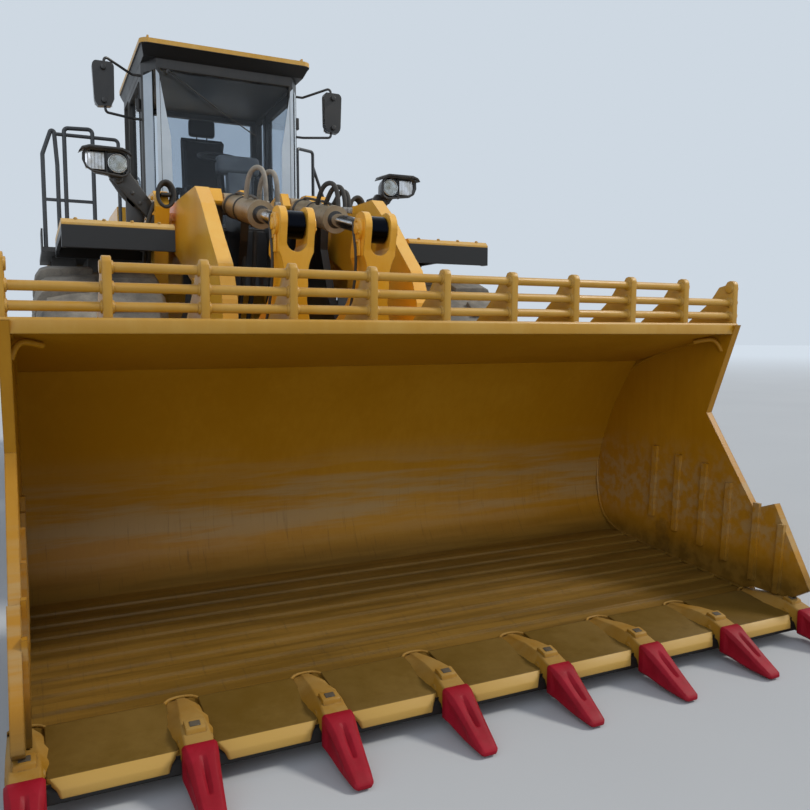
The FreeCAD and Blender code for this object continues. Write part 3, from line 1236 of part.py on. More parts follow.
# Mirrors: a tall rounded head held by a tube above and one below
mirror_y = dim.cab_front_y + 90
mirror_face = [(Size(962), dim.mirror_low_z), (Size(1062), dim.mirror_low_z - 6),
               (Size(1092), dim.mirror_low_z + 60, 8), (Size(1102), dim.mirror_high_z - 40),
               (Size(1072), dim.mirror_high_z, 8), (Size(952), dim.mirror_high_z),
               (Size(930), dim.mirror_high_z - 40, 6), (Size(934), dim.mirror_low_z + 60)]
mirror_head = slab("XZ", mirror_face, (mirror_y - 34, mirror_y + 34), "mirror_head")
mirror_foot = dim.cab_half_width + gap
mirror_arms = [
    bent_tube([(mirror_foot, corner_y + 20, dim.mirror_high_z - 30),
               (mirror_foot + 70, corner_y + 20, dim.mirror_high_z - 30),
               (1000, mirror_y, dim.mirror_high_z + 50), (1012, mirror_y, dim.mirror_high_z - 30)], 11, 28,
               "mirror_arm"),
    bent_tube([(mirror_foot, corner_y + 20, dim.mirror_low_z - 40),
               (mirror_foot + 70, corner_y + 20, dim.mirror_low_z - 40),
               (1000, mirror_y, dim.mirror_low_z - 45), (1012, mirror_y, dim.mirror_low_z + 30)], 11, 24,
               "mirror_arm"),
]
node(both_sides(join([mirror_head] + mirror_arms)), "mirrors")

# Handrails: a stepped group on the machine's right and a tall hoop by the ladder on its left
rail_foot = dim.platform_z + 40
rail_y = dim.platform_front_y + 24
rail_x = dim.platform_half_width - 36
rail_bend = 34
right_rails = [
    bent_tube([(-rail_x, rail_y, rail_foot), (-rail_x, rail_y, 2980), (-1410, rail_y, 3240),
               (-1390, rail_y, 2900),
               (-1390, rail_y, rail_foot)], 17, 16, "rail"),
    bent_tube([(-1330, rail_y, rail_foot), (-1330, rail_y, 3205), (-1110, rail_y, 3215),
               (-1110, rail_y, rail_foot)],
              17, rail_bend, "rail"),
    bent_tube([(-1405, rail_y, 3150), (-905, rail_y, 3150), (-905, rail_y, rail_foot)], 15, rail_bend, "rail"),
    box((-rail_x, -1110), (rail_y - 12, rail_y + 12), (2600, 2624)),
]
left_rails = [
    bent_tube([(1000, 1230, rail_foot), (1000, 1230, 3470), (1230, 1400, 3490), (1230, 1400, rail_foot)], 17,
              rail_bend, "rail"),
    bent_tube([(1230, 1400, 3330), (1400, 1480, 2950), (1460, 1520, rail_foot + 90), (1460, 1520, rail_foot)],
              17, rail_bend, "rail"),
]
node(group([join(right_rails), join(left_rails)]), "handrails")

# Engine hood: a thin shell with louvred openings in its sides and rear
hood_half = dim.hood_half_width
hood_rear = dim.rear_reach - 60
hood_walk = [
    (dim.hood_front_y, dim.hood_low_z), (hood_rear - 90, dim.hood_low_z), (hood_rear - 15, dim.hood_low_z + 90),
    (hood_rear, dim.hood_rear_z - 200), (hood_rear - 100, dim.hood_rear_z, 32),
    (dim.hood_front_y + 900, dim.hood_front_z, 16),
    (dim.hood_front_y, dim.hood_front_z),
]
hood_inner = [
    (dim.hood_front_y + dim.hood_wall, dim.hood_low_z - 10), (hood_rear - 122, dim.hood_low_z - 10),
    (hood_rear - 46, dim.hood_low_z + 98), (hood_rear - 32, dim.hood_rear_z - 210),
    (hood_rear - 120, dim.hood_rear_z - 34), (dim.hood_front_y + 895, dim.hood_front_z - dim.hood_wall),
    (dim.hood_front_y + dim.hood_wall, dim.hood_front_z - dim.hood_wall),
]
wall_x = (hood_half - dim.hood_wall, hood_half)
louvre_y = (dim.hood_front_y + 500, dim.hood_front_y + 1700)
louvre_z = (dim.hood_low_z + 380, dim.hood_low_z + 780)
side_opening = box((wall_x[0] - 5, wall_x[1] + 5), louvre_y, louvre_z)
SIDE_LOUVRES = 6
louvre_pitch = (louvre_z[1] - louvre_z[0]) / SIDE_LOUVRES
louvres = [box(wall_x, (louvre_y[0] - 2, louvre_y[1] + 2),
               (louvre_z[0] + louvre_pitch * n - 12, louvre_z[0] + louvre_pitch * n + 12))
           for n in range(1, SIDE_LOUVRES)]
grille_x, grille_z = dim.grille_half_width, (dim.hood_low_z + 260, dim.hood_low_z + 690)
rear_opening = box((-grille_x, grille_x), (hood_rear - 70, hood_rear + 10), grille_z)
REAR_BARS = 9
bar_pitch = grille_x * 2 / (REAR_BARS + 1)
rear_bars = [box((bar_pitch * n - grille_x - 9, bar_pitch * n - grille_x + 9),
                 (hood_rear - 40, hood_rear - 12), (grille_z[0] - 4, grille_z[1] + 4))
             for n in range(1, REAR_BARS + 1)]
hood_bore = pin_x((wall_x[0] - 5, wall_x[1] + 12), *hood_pin, dim.hood_pin_radius + gap)
lug_notch = box((dim.hood_half_width - 96, wall_x[0]), (hood_pin[0] - 60, hood_rear + 10),
                (dim.hood_low_z - 20, hood_pin[1] + 60))
hood_shell = cut(plate(hood_walk, (-hood_half, hood_half)),
                 [plate(hood_inner, (-wall_x[0], wall_x[0])), side_opening, mirrored(side_opening),
                                                             rear_opening, hood_bore, mirrored(hood_bore),
                                                             lug_notch, mirrored(lug_notch)], "hood_shell")
node(join([hood_shell] + louvres + [mirrored(item) for item in louvres] + rear_bars, "hood_whole"),
     "engine_hood")
exhaust_place = (Size(300), dim.hood_front_y + 700)
exhaust_top = dim.hood_front_z + 450
node(cut(join([pin_z(*exhaust_place, (dim.hood_front_z, dim.hood_front_z + 60), 95),
               pin_z(*exhaust_place, (dim.hood_front_z + 50, exhaust_top), 62)]),
         [pin_z(*exhaust_place, (dim.hood_front_z + 200, exhaust_top + 10), 54)]), "exhaust")
doc.recompute()

for item in doc.Objects:
    faults = [word for word in item.State if word in ("Invalid", "Error")]
    if faults:
        raise RuntimeError("%s (%s) is %s" % (item.Name, item.Label, faults))
for item in nodes:
    if item.Shape.isNull() or not item.Shape.isValid():
        raise RuntimeError(item.Label + " has no valid shape")
os.makedirs("parts", exist_ok=True)
for item in nodes:
    item.Shape.exportStep("parts/%s.step" % item.Label)
    print(item.Label, len(item.Shape.Solids), "solids", round(item.Shape.Volume / 1e9, 4))
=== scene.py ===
"""Wheel loader: finishes, fittings, light and camera round the machine's frame."""
import bpy
import math
from contextlib import contextmanager
from mathutils import Matrix, Vector


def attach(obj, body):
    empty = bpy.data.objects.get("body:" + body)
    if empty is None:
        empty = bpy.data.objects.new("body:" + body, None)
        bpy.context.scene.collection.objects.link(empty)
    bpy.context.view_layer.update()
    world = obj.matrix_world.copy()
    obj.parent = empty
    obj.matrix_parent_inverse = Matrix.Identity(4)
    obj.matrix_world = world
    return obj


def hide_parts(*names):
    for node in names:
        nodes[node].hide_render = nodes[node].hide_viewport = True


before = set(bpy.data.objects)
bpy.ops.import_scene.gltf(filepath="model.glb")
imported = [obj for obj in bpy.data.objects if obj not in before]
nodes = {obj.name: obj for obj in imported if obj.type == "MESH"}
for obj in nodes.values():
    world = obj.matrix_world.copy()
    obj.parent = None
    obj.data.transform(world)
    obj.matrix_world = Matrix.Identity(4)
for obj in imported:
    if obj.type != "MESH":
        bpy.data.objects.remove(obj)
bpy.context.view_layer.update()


# Colours and node helpers
def tint(red, green, blue):
    """A colour written as it shows on screen, from 0 to 255."""
    channels = []
    for value in (red, green, blue):
        share = value / 255
        channels.append(share / 12.92 if share <= 0.04045 else ((share + 0.055) / 1.055) ** 2.4)
    return (*channels, 1.0)


def add_node(tree, kind, settings=None, **sockets):
    item = tree.nodes.new("ShaderNode" + kind)
    for name, value in (settings or {}).items():
        setattr(item, name, value)
    return filled(tree, item, **sockets)


def filled(tree, item, **sockets):
    """A node with some of its inputs linked or set; an underscore stands for a space in a name."""
    for name, value in sockets.items():
        fill_socket(tree, item.inputs[name.replace("_", " ")], value)
    return item


def fill_socket(tree, socket, value):
    if isinstance(value, bpy.types.NodeSocket):
        tree.links.new(value, socket)
    else:
        socket.default_value = value


def arithmetic(tree, operation, first, second=0.0, third=0.0, clamp=False):
    item = tree.nodes.new("ShaderNodeMath")
    item.operation = operation
    item.use_clamp = clamp
    for socket, value in zip(item.inputs, (first, second, third)):
        fill_socket(tree, socket, value)
    return item.outputs[0]


def product(tree, first, second, clamp=False):
    return arithmetic(tree, "MULTIPLY", first, second, clamp=clamp)


def spread(tree, value, low, high, to_low=0.0, to_high=1.0):
    """A value's range between low and high, stretched to another range."""
    item = tree.nodes.new("ShaderNodeMapRange")
    item.interpolation_type = "SMOOTHSTEP"
    for socket, number in zip(item.inputs, (value, low, high, to_low, to_high)):
        fill_socket(tree, socket, number)
    return item.outputs[0]


def mixed(tree, share, first, second):
    item = tree.nodes.new("ShaderNodeMix")
    item.data_type = "RGBA"
    fill_socket(tree, item.inputs[0], share)
    fill_socket(tree, item.inputs[6], first)
    fill_socket(tree, item.inputs[7], second)
    return item.outputs[2]


def noise(tree, place, size, detail=4.0, rough=0.6):
    return add_node(tree, "TexNoise", Vector=place, Scale=size, Detail=detail, Roughness=rough).outputs["Fac"]


def stretched(tree, place, scale):
    return add_node(tree, "Mapping", Vector=place, Scale=scale).outputs[0]


def object_place(tree):
    return add_node(tree, "TexCoord").outputs["Object"]


def bumped(tree, strength, distance, height):
    return add_node(tree, "Bump", Strength=strength, Distance=distance, Height=height).outputs[0]


def new_group(name, inputs, outputs):
    group = bpy.data.node_groups.new(name, "ShaderNodeTree")
    for label, kind, value in inputs:
        socket = group.interface.new_socket(label, in_out="INPUT", socket_type="NodeSocket" + kind)
        socket.default_value = value
    for label, kind in outputs:
        group.interface.new_socket(label, in_out="OUTPUT", socket_type="NodeSocket" + kind)
    return group, group.nodes.new("NodeGroupInput").outputs, group.nodes.new("NodeGroupOutput").inputs


def make_weathered_coat():
    """Paint on steel: tone patches, orange peel, chipped edges, scratches, and dust on what faces up."""
    group, given, out = new_group("weathered_coat", (
        ("Coat", "Color", (0.5, 0.3, 0.05, 1)), ("Faded", "Color", (0.5, 0.3, 0.05, 1)),
        ("Bare", "Color", (0.1, 0.07, 0.05, 1)), ("Dust", "Color", (0.4, 0.34, 0.26, 1)),
        ("Chips", "Float", 0.3), ("Dusty", "Float", 0.3), ("Patch size", "Float", 1.5),
        ("Gloss", "Float", 0.35), ("Corner", "Vector", (0, 0, 1)),
    ), (("Colour", "Color"), ("Roughness", "Float"), ("Height", "Float")))
    place = add_node(group, "TexCoord").outputs
    large = noise(group, place["Object"], given["Patch size"], 5.0, 0.62)
    fine = noise(group, place["Object"], 38.0, 6.0, 0.7)
    peel = noise(group, place["Object"], 260.0, 2.0, 0.5)
    streaks = noise(group, stretched(group, place["Object"], (9.0, 9.0, 1.1)), 3.0, 5.0, 0.65)
    flat = add_node(group, "NewGeometry").outputs["Normal"]
    facing = add_node(group, "VectorMath", {"operation": "DOT_PRODUCT"})
    group.links.new(given["Corner"], facing.inputs[0])
    group.links.new(flat, facing.inputs[1])
    edge = spread(group, facing.outputs["Value"], 0.99, 0.8)
    tone = arithmetic(group, "MULTIPLY_ADD", large, 0.7, product(group, streaks, 0.3))
    coat = mixed(group, spread(group, tone, 0.38, 0.66), given["Coat"], given["Faded"])
    chip_edge = product(group, edge, spread(group, fine, 0.42, 0.62))
    chip_spot = spread(group, arithmetic(group, "MULTIPLY_ADD", fine, 0.75, product(group, large, 0.25)), 0.665,
                       0.7)
    chips = product(group, arithmetic(group, "MAXIMUM", chip_edge, chip_spot), given["Chips"], clamp=True)
    chipped = mixed(group, chips, coat, given["Bare"])
    upward = add_node(group, "SeparateXYZ", Vector=place["Normal"]).outputs[2]
    lying = spread(group, upward, 0.15, 0.95, 0.12, 1.0)
    settled = product(group, lying, spread(group, tone, 0.3, 0.62, 0.25, 1.0))
    dust = product(group, settled, given["Dusty"], clamp=True)
    group.links.new(mixed(group, dust, chipped, given["Dust"]), out["Colour"])
    rough = arithmetic(group, "ADD", given["Gloss"], product(group, arithmetic(group, "ADD", chips, dust),
                                                             0.35))
    group.links.new(arithmetic(group, "ADD", rough, spread(group, large, 0.3, 0.7, -0.05, 0.08), clamp=True),
                    out["Roughness"])
    height = arithmetic(group, "MULTIPLY_ADD", peel, 0.12, product(group, chips, -0.5))
    group.links.new(arithmetic(group, "MULTIPLY_ADD", fine, 0.15, height), out["Height"])
    return group


weathered_coat = make_weathered_coat()


def new_material(name):
    material = bpy.data.materials.new(name)
    material.use_nodes = True
    tree = material.node_tree
    tree.nodes.clear()
    shader = tree.nodes.new("ShaderNodeBsdfPrincipled")
    output = tree.nodes.new("ShaderNodeOutputMaterial")
    tree.links.new(shader.outputs[0], output.inputs[0])
    return material, tree, shader


def coated(name, coat, faded, bare=tint(70, 52, 40), dust=tint(168, 150, 122), chips=0.4, dusty=0.25, patch=1.5,
           gloss=0.35, clear=0.0, metallic=0.0, relief=0.35, change=None, radius=0.007, specular=0.5):
    """A painted finish from the weathered coat; change may alter its colour before the shader reads it."""
    material, tree, shader = new_material(name)
    wear = tree.nodes.new("ShaderNodeGroup")
    wear.node_tree = weathered_coat
    values = {"Coat": coat, "Faded": faded, "Bare": bare, "Dust": dust, "Chips": chips, "Dusty": dusty,
              "Patch size": patch, "Gloss": gloss}
    for label, value in values.items():
        wear.inputs[label].default_value = value
    corner = add_node(tree, "Bevel", {"samples": 2}, Radius=radius).outputs[0]
    tree.links.new(corner, wear.inputs["Corner"])
    colour = wear.outputs["Colour"]
    if change:
        colour = change(tree, colour)
    # Corners shade as if rounded off, under the coat's fine relief
    bump = add_node(tree, "Bump", Strength=relief, Distance=0.003, Height=wear.outputs["Height"], Normal=corner)
    filled(tree, shader, Base_Color=colour, Roughness=wear.outputs["Roughness"], Metallic=metallic,
           Coat_Weight=clear, Coat_Roughness=0.12, Specular_IOR_Level=specular, Normal=bump.outputs[0])
    return material


def object_axis(tree, axis):
    return add_node(tree, "SeparateXYZ", Vector=object_place(tree)).outputs["XYZ".index(axis)]


def below(height, colour, blur=0.004):
    """Another colour under a height, as where a liner sits below a painted roof."""
    def change(tree, coat):
        return mixed(tree, spread(tree, object_axis(tree, "Z"), height - blur, height + blur), colour, coat)
    return change


def black_and_shade_between_towers(tree, coat):
    """Near-black inside the tower frame, partly black paint and partly painted shade, with the tilt cylinders'
    lugs left yellow on top.
    """
    inward = spread(tree, arithmetic(tree, "ABSOLUTE", object_axis(tree, "X")), 0.57, 0.54)
    low = spread(tree, object_axis(tree, "Z"), 2.47, 2.43)
    return mixed(tree, product(tree, inward, low), coat, tint(24, 23, 23))


def near_point(y, z, radius, colour):
    """Another colour round a pin that lies across the machine."""
    def change(tree, coat):
        away_y = arithmetic(tree, "SUBTRACT", object_axis(tree, "Y"), y)
        away_z = arithmetic(tree, "SUBTRACT", object_axis(tree, "Z"), z)
        squares = arithmetic(tree, "ADD", product(tree, away_y, away_y), product(tree, away_z, away_z))
        return mixed(tree, spread(tree, squares, (radius - 0.004) ** 2, radius ** 2), colour, coat)
    return change


YELLOW, PALE_YELLOW = tint(232, 166, 28), tint(240, 182, 58)
BLACK = tint(30, 29, 28)
machine_yellow = coated("machine_yellow", YELLOW, PALE_YELLOW, chips=0.5, dusty=0.22, clear=0.35, gloss=0.34)
charcoal = coated("charcoal_paint", tint(44, 44, 45), tint(56, 55, 54), bare=tint(90, 84, 76), chips=0.45,
                  dusty=0.28, gloss=0.45)
black_paint = coated("black_paint", tint(26, 25, 25), tint(36, 35, 34), bare=tint(80, 74, 68), chips=0.35,
                     dusty=0.2, gloss=0.38, clear=0.2)
rail_grey = coated("rail_grey", tint(48, 52, 56), tint(60, 64, 68), bare=tint(96, 92, 86), chips=0.4,
                   dusty=0.15, gloss=0.4)
roof_paint = coated("roof_paint", tint(196, 146, 48), tint(206, 162, 78), chips=0.25, dusty=0.35, gloss=0.4,
                    change=below(3.905, BLACK))
engine_grey = coated("engine_grey", tint(70, 72, 74), tint(82, 82, 80), bare=tint(60, 40, 28), chips=0.6,
                     dusty=0.4, gloss=0.55)
cast_grey = coated("cast_grey", tint(54, 54, 55), tint(66, 65, 63), bare=tint(110, 98, 82), chips=0.5,
                   dusty=0.35, gloss=0.5, patch=0.9, relief=0.6)
bare_steel = coated("bare_steel", tint(120, 116, 110), tint(150, 146, 140), bare=tint(92, 66, 46), chips=0.7,
                    dusty=0.15, gloss=0.36, metallic=0.85)
tooth_red = coated("tooth_red", tint(132, 8, 26), tint(150, 14, 36), bare=tint(78, 46, 40),
                   dust=tint(130, 52, 56), chips=0.5, dusty=0.06, patch=6.0, gloss=0.52, relief=0.7,
                   radius=0.004, specular=0.18)


def bucket_wear_and_shadow(tree, coat):
    """A dark scoured floor, long rubbed marks, and a dull band on the back wall, where loads slide; and a
    painted shadow on the low front faces under the cutting edge.
    """
    place = object_place(tree)
    across = noise(tree, stretched(tree, place, (0.5, 7.0, 7.0)), 2.2, 6.0, 0.62)
    scores = noise(tree, stretched(tree, place, (26.0, 1.2, 1.2)), 3.0, 6.0, 0.7)
    depth = object_axis(tree, "Z")
    low = spread(tree, depth, 0.42, 0.22)
    floor = mixed(tree, spread(tree, across, 0.36, 0.62), tint(88, 66, 24), tint(116, 88, 36))
    coat = mixed(tree, product(tree, low, 0.9), coat, floor)
    band = product(tree, spread(tree, depth, 0.3, 0.5), spread(tree, depth, 0.95, 0.6))
    rubbed = product(tree, band, spread(tree, across, 0.4, 0.62, 0.05, 0.62))
    scored = product(tree, spread(tree, depth, 0.78, 0.3), spread(tree, scores, 0.56, 0.7, 0.0, 0.45))
    dulled = mixed(tree, rubbed, coat, tint(166, 142, 100))
    worn = mixed(tree, scored, dulled, tint(70, 52, 26))
    facing = add_node(tree, "SeparateXYZ", Vector=add_node(tree, "TexCoord").outputs["Normal"]).outputs[1]
    # Painted shadow: front faces low under the edge plates, the cheeks' fronts too, go near-black
    low_edge = product(tree, spread(tree, object_axis(tree, "Y"), -4.4, -4.43), spread(tree, depth, 0.14, 0.12))
    painted_shadow_under_edge = product(tree, low_edge, spread(tree, facing, -0.2, -0.5))
    return mixed(tree, painted_shadow_under_edge, worn, tint(26, 22, 18))


bucket_paint = coated("bucket_paint", tint(168, 114, 8), tint(180, 126, 18), bare=tint(74, 52, 28),
                      dust=tint(126, 104, 66), chips=0.75, dusty=0.26, patch=1.1, gloss=0.4, relief=0.5,
                      change=bucket_wear_and_shadow, specular=0.25)


def front_rubbed(tree, coat):
    """Bright rubbed metal paint on the faces that meet the ground first, dark floor colour elsewhere."""
    ahead = add_node(tree, "SeparateXYZ", Vector=add_node(tree, "TexCoord").outputs["Normal"]).outputs[1]
    return mixed(tree, spread(tree, ahead, -0.35, -0.6), coat, tint(176, 140, 70))


edge_paint = coated("edge_paint", tint(94, 70, 20), tint(108, 82, 28), bare=tint(74, 54, 28),
                    dust=tint(116, 96, 58), chips=0.8, dusty=0.2, patch=2.2, gloss=0.44, relief=0.6,
                    change=front_rubbed, specular=0.25)
adapter_paint = coated("adapter_paint", tint(146, 102, 22), tint(158, 116, 38), bare=tint(88, 64, 34),
                       dust=tint(150, 124, 74), chips=0.8, dusty=0.55, patch=4.0, gloss=0.42, relief=0.6,
                       specular=0.25)
guard_paint = coated("guard_paint", tint(182, 132, 28), tint(190, 144, 52), bare=tint(104, 74, 40),
                     dust=tint(176, 156, 118), chips=0.6, dusty=0.3, patch=3.0, gloss=0.38)
# Under the fender's top lip the coat turns near-black: partly the fender's black front and underside, partly
# painted shade under the lip
fender_paint = coated("fender_paint", tint(206, 156, 56), tint(200, 162, 90), chips=0.5, dusty=0.3, gloss=0.4,
                      change=below(2.138, tint(22, 21, 20)))
# The front frame goes near-black between the towers: partly black paint, partly painted shade
frame_paint = coated("frame_paint", YELLOW, PALE_YELLOW, chips=0.5, dusty=0.22, clear=0.35, gloss=0.34,
                     change=black_and_shade_between_towers)
barrel_tan = coated("barrel_tan", tint(142, 122, 92), tint(172, 156, 130), bare=tint(60, 52, 44), chips=0.6,
                    dusty=0.35, gloss=0.34, metallic=0.25)


def make_rubber(name, dusty):
    """Tyre rubber: fine mould grain with pale dust in its patches, on the tyres partly painted highlight."""
    material, tree, shader = new_material(name)
    place = object_place(tree)
    patches = noise(tree, place, 2.6, 6.0, 0.65)
    grain = noise(tree, place, 120.0, 4.0, 0.6)
    share = product(tree, spread(tree, patches, 0.34, 0.66, 0.25, 1.0), dusty)
    colour = mixed(tree, share, tint(30, 30, 31), tint(150, 143, 131))
    colour = mixed(tree, spread(tree, grain, 0.5, 0.75, 0.0, 0.3), colour, tint(54, 52, 50))
    filled(tree, shader, Base_Color=colour, Roughness=spread(tree, patches, 0.3, 0.7, 0.66, 0.88),
           Normal=bumped(tree, 0.35, 0.002, grain))
    return material


# The tyres' pale patches are set high: partly real dust, partly painted highlight on the rubber
tyre_rubber = make_rubber("tyre_rubber", 0.92)
hose_rubber = make_rubber("hose_rubber", 0.18)
hose_tan = make_rubber("hose_tan", 1.25)


def make_glass(name, colour, tone):
    """Clear glass with a faint film of dust that changes only its tint."""
    material, tree, shader = new_material(name)
    film = noise(tree, object_place(tree), 1.3, 3.0, 0.5)
    filled(tree, shader, Base_Color=mixed(tree, spread(tree, film, 0.3, 0.75), colour, tone), Roughness=0.0,
           Transmission_Weight=1.0, IOR=1.3)
    return material


slate_glass = make_glass("slate_glass", tint(208, 216, 224), tint(218, 225, 231))
lamp_glass = make_glass("lamp_glass", tint(236, 238, 236), tint(228, 230, 228))


def make_chrome(name, change=None):
    """Ground chrome with an oily film; change may paint part of it."""
    material, tree, shader = new_material(name)
    place = object_place(tree)
    film = noise(tree, place, 9.0, 5.0, 0.65)
    colour = mixed(tree, spread(tree, film, 0.4, 0.7), tint(222, 222, 224), tint(168, 160, 146))
    if change:
        colour = change(tree, colour)
    filled(tree, shader, Base_Color=colour, Roughness=spread(tree, film, 0.35, 0.7, 0.1, 0.26), Metallic=1.0)
    return material


rod_chrome = make_chrome("rod_chrome")
eyed_chrome = make_chrome("eyed_chrome", near_point(-2.565, 2.12, 0.15, tint(20, 22, 28)))


def make_plastic(name, colour, lighter):
    """Moulded plastic with a leathery grain."""
    material, tree, shader = new_material(name)
    place = object_place(tree)
    cells = add_node(tree, "TexVoronoi", {"feature": "DISTANCE_TO_EDGE"}, Vector=place,
                     Scale=320.0).outputs["Distance"]
    patches = noise(tree, place, 5.0, 5.0, 0.6)
    filled(tree, shader, Base_Color=mixed(tree, spread(tree, patches, 0.35, 0.65), colour, lighter),
           Roughness=spread(tree, patches, 0.3, 0.7, 0.46, 0.6),
           Normal=bumped(tree, 0.25, 0.001, spread(tree, cells, 0.0, 0.2)))
    return material


cab_plastic = make_plastic("cab_plastic", tint(44, 45, 47), tint(58, 59, 60))
console_grey = make_plastic("console_grey", tint(112, 116, 120), tint(130, 133, 136))
lens_red = make_plastic("lens_red", tint(150, 16, 18), tint(172, 26, 26))
lens_white = make_plastic("lens_white", tint(206, 206, 200), tint(220, 220, 214))
# A pale opaque sheet for windows: painted reflection of the bright surroundings
painted_reflection_film = make_plastic("painted_reflection_film", tint(186, 197, 206), tint(194, 204, 212))


def make_seat_cloth():
    """Plain weave: two crossed sets of threads with a slight mottle."""
    material, tree, shader = new_material("seat_cloth")
    place = object_place(tree)
    weft, warp = [add_node(tree, "TexWave", {"bands_direction": axis}, Vector=place, Scale=130.0,
                           Distortion=1.5, Detail=2.0).outputs["Fac"] for axis in "ZX"]
    weave = product(tree, weft, warp)
    mottle = noise(tree, place, 14.0, 5.0, 0.6)
    dark = mixed(tree, spread(tree, mottle, 0.35, 0.65), tint(30, 31, 34), tint(44, 45, 48))
    filled(tree, shader, Base_Color=mixed(tree, spread(tree, weave, 0.2, 0.9, 0.0, 0.45), dark,
                                          tint(78, 80, 84)), Roughness=0.9, Sheen_Weight=0.3,
           Normal=bumped(tree, 0.4, 0.001, weave))
    return material


seat_cloth = make_seat_cloth()

# Which finish each part of the frame wears
FINISHES = (
    (machine_yellow, "lift_arms bell_cranks bucket_links rear_frame front_axle rear_axle engine_hood"),
    (frame_paint, "front_frame"), (roof_paint, "cab_roof"), (fender_paint, "front_fenders rear_fenders"),
    (bucket_paint, "bucket_shell"), (guard_paint, "spill_guard"), (adapter_paint, "tooth_adapters"),
    (tooth_red, "bucket_teeth"), (charcoal, "cab_shell door_left door_right platforms ladders"),
    (rail_grey, "handrails"), (cast_grey, "counterweight"), (engine_grey, "engine_block"),
    (bare_steel, "exhaust"),
    (black_paint, "headlamps lift_barrels steer_barrel_left steer_barrel_right mirrors"),
    (rod_chrome, "lift_rods steer_rod_left steer_rod_right"), (eyed_chrome, "tilt_rods"),
    (barrel_tan, "tilt_barrels"), (slate_glass, "cab_glass door_glass_left door_glass_right"),
    (cab_plastic, "cab_console steering_column"), (seat_cloth, "seat"),
    (tyre_rubber, "tyre_front_left tyre_front_right tyre_rear_left tyre_rear_right"),
    (machine_yellow, "rim_front_left rim_front_right rim_rear_left rim_rear_right"),
)
for finish, names in FINISHES:
    for name in names.split():
        slots = nodes[name].data.materials
        if not len(slots):
            slots.append(finish)
        for number in range(len(slots)):
            slots[number] = finish


# Modelling helpers
def clear_selection():
    bpy.ops.object.select_all(action="DESELECT")


def take(piece):
    """Selects one piece alone and makes it the active one."""
    clear_selection()
    piece.select_set(True)
    bpy.context.view_layer.objects.active = piece


@contextmanager
def editing():
    """Edit mode on the active piece, all of its mesh selected."""
    bpy.ops.object.mode_set(mode="EDIT")
    bpy.ops.mesh.select_all(action="SELECT")
    yield
    bpy.ops.object.mode_set(mode="OBJECT")


def settle():
    """Puts the active piece's place into its mesh."""
    bpy.ops.object.transform_apply(location=True, rotation=True, scale=True)
    return bpy.context.object


def block(low, high):
    clear_selection()
    middle = [(a + b) / 2 for a, b in zip(low, high)]
    bpy.ops.mesh.primitive_cube_add(size=1, location=middle, scale=[b - a for a, b in zip(low, high)])
    return settle()


def side_block(x, depth, low, high):
    """A block that stands off a side face by a depth, between two places (y, z) on it."""
    return block((min(x, x + depth), *low), (max(x, x + depth), *high))


def round_bar(start, end, radius, sides=24, end_radius=None):
    """A bar between two points, straight or tapered."""
    clear_selection()
    run = Vector(end) - Vector(start)
    bpy.ops.mesh.primitive_cone_add(vertices=sides, radius1=radius, radius2=radius if end_radius is None
                                    else end_radius, depth=run.length,
                                    location=(Vector(start) + Vector(end)) / 2,
                                    rotation=run.to_track_quat("Z", "Y").to_euler())
    return settle()


def ring(centre, axis, radius, thickness, sides=32):
    clear_selection()
    bpy.ops.mesh.primitive_torus_add(location=centre, rotation=Vector(axis).to_track_quat("Z", "Y").to_euler(),
                                     major_segments=sides, minor_segments=10, major_radius=radius,
                                     minor_radius=thickness)
    return settle()


def cut_plate(outline, plane, span):
    """A plate with an outline in the YZ, XZ or XY plane, as thick as its span across it."""
    clear_selection()
    bpy.ops.mesh.primitive_circle_add(vertices=len(outline), fill_type="NGON")
    plate = settle()
    across = {"YZ": 0, "XZ": 1, "XY": 2}[plane]
    for vertex, (u, v) in zip(plate.data.vertices, outline):
        place = [u, v]
        place.insert(across, span[0])
        vertex.co = place
    move = [0, 0, 0]
    move[across] = span[1] - span[0]
    with editing():
        bpy.ops.mesh.extrude_region_move(TRANSFORM_OT_translate={"value": move})
        bpy.ops.mesh.select_all(action="SELECT")
        bpy.ops.mesh.normals_make_consistent(inside=False)
    return plate


def rounded(piece, width, segments=2, angle=30):
    """Bevels the corners that are sharper than an angle, and smooths what lies between them."""
    take(piece)
    bevel = piece.modifiers.new("rounding", "BEVEL")
    bevel.width = width
    bevel.segments = segments
    bevel.limit_method = "ANGLE"
    bevel.angle_limit = math.radians(angle)
    bpy.ops.object.modifier_apply(modifier=bevel.name)
    bpy.ops.object.shade_smooth_by_angle(angle=math.radians(35))
    return piece


def joined(parts):
    clear_selection()
    for part in parts:
        part.select_set(True)
    bpy.context.view_layer.objects.active = parts[0]
    if len(parts) > 1:
        bpy.ops.object.join()
    return bpy.context.object


def copied(piece, turn):
    """A copy with its own mesh, moved by a matrix."""
    twin = piece.copy()
    twin.data = piece.data.copy()
    bpy.context.collection.objects.link(twin)
    twin.data.transform(turn)
    if turn.determinant() < 0:
        twin.data.flip_normals()
    return twin


def shift(x, y=0, z=0):
    return Matrix.Translation((x, y, z))


ACROSS = Matrix.Scale(-1, 4, (1, 0, 0))


def with_mirror(parts):
    return list(parts) + [copied(part, ACROSS) for part in parts]


# The material slot that goes with each finish, where a piece names no other
SLOTS = {
    machine_yellow: "yellow_paint", fender_paint: "yellow_paint", roof_paint: "yellow_paint",
    bucket_paint: "worn_paint", edge_paint: "worn_paint", adapter_paint: "worn_paint",
    guard_paint: "worn_paint", tooth_red: "red_paint", lens_red: "red_paint", black_paint: "dark_paint",
    charcoal: "dark_paint", rod_chrome: "rod_chrome", lamp_glass: "window_glass", lens_white: "window_glass",
    painted_reflection_film: "window_glass", tyre_rubber: "tyre_rubber", hose_rubber: "barrel_paint",
    hose_tan: "barrel_paint", bare_steel: "barrel_paint", seat_cloth: "seat_fabric",
    cab_plastic: "cab_plastic", console_grey: "cab_plastic",
}


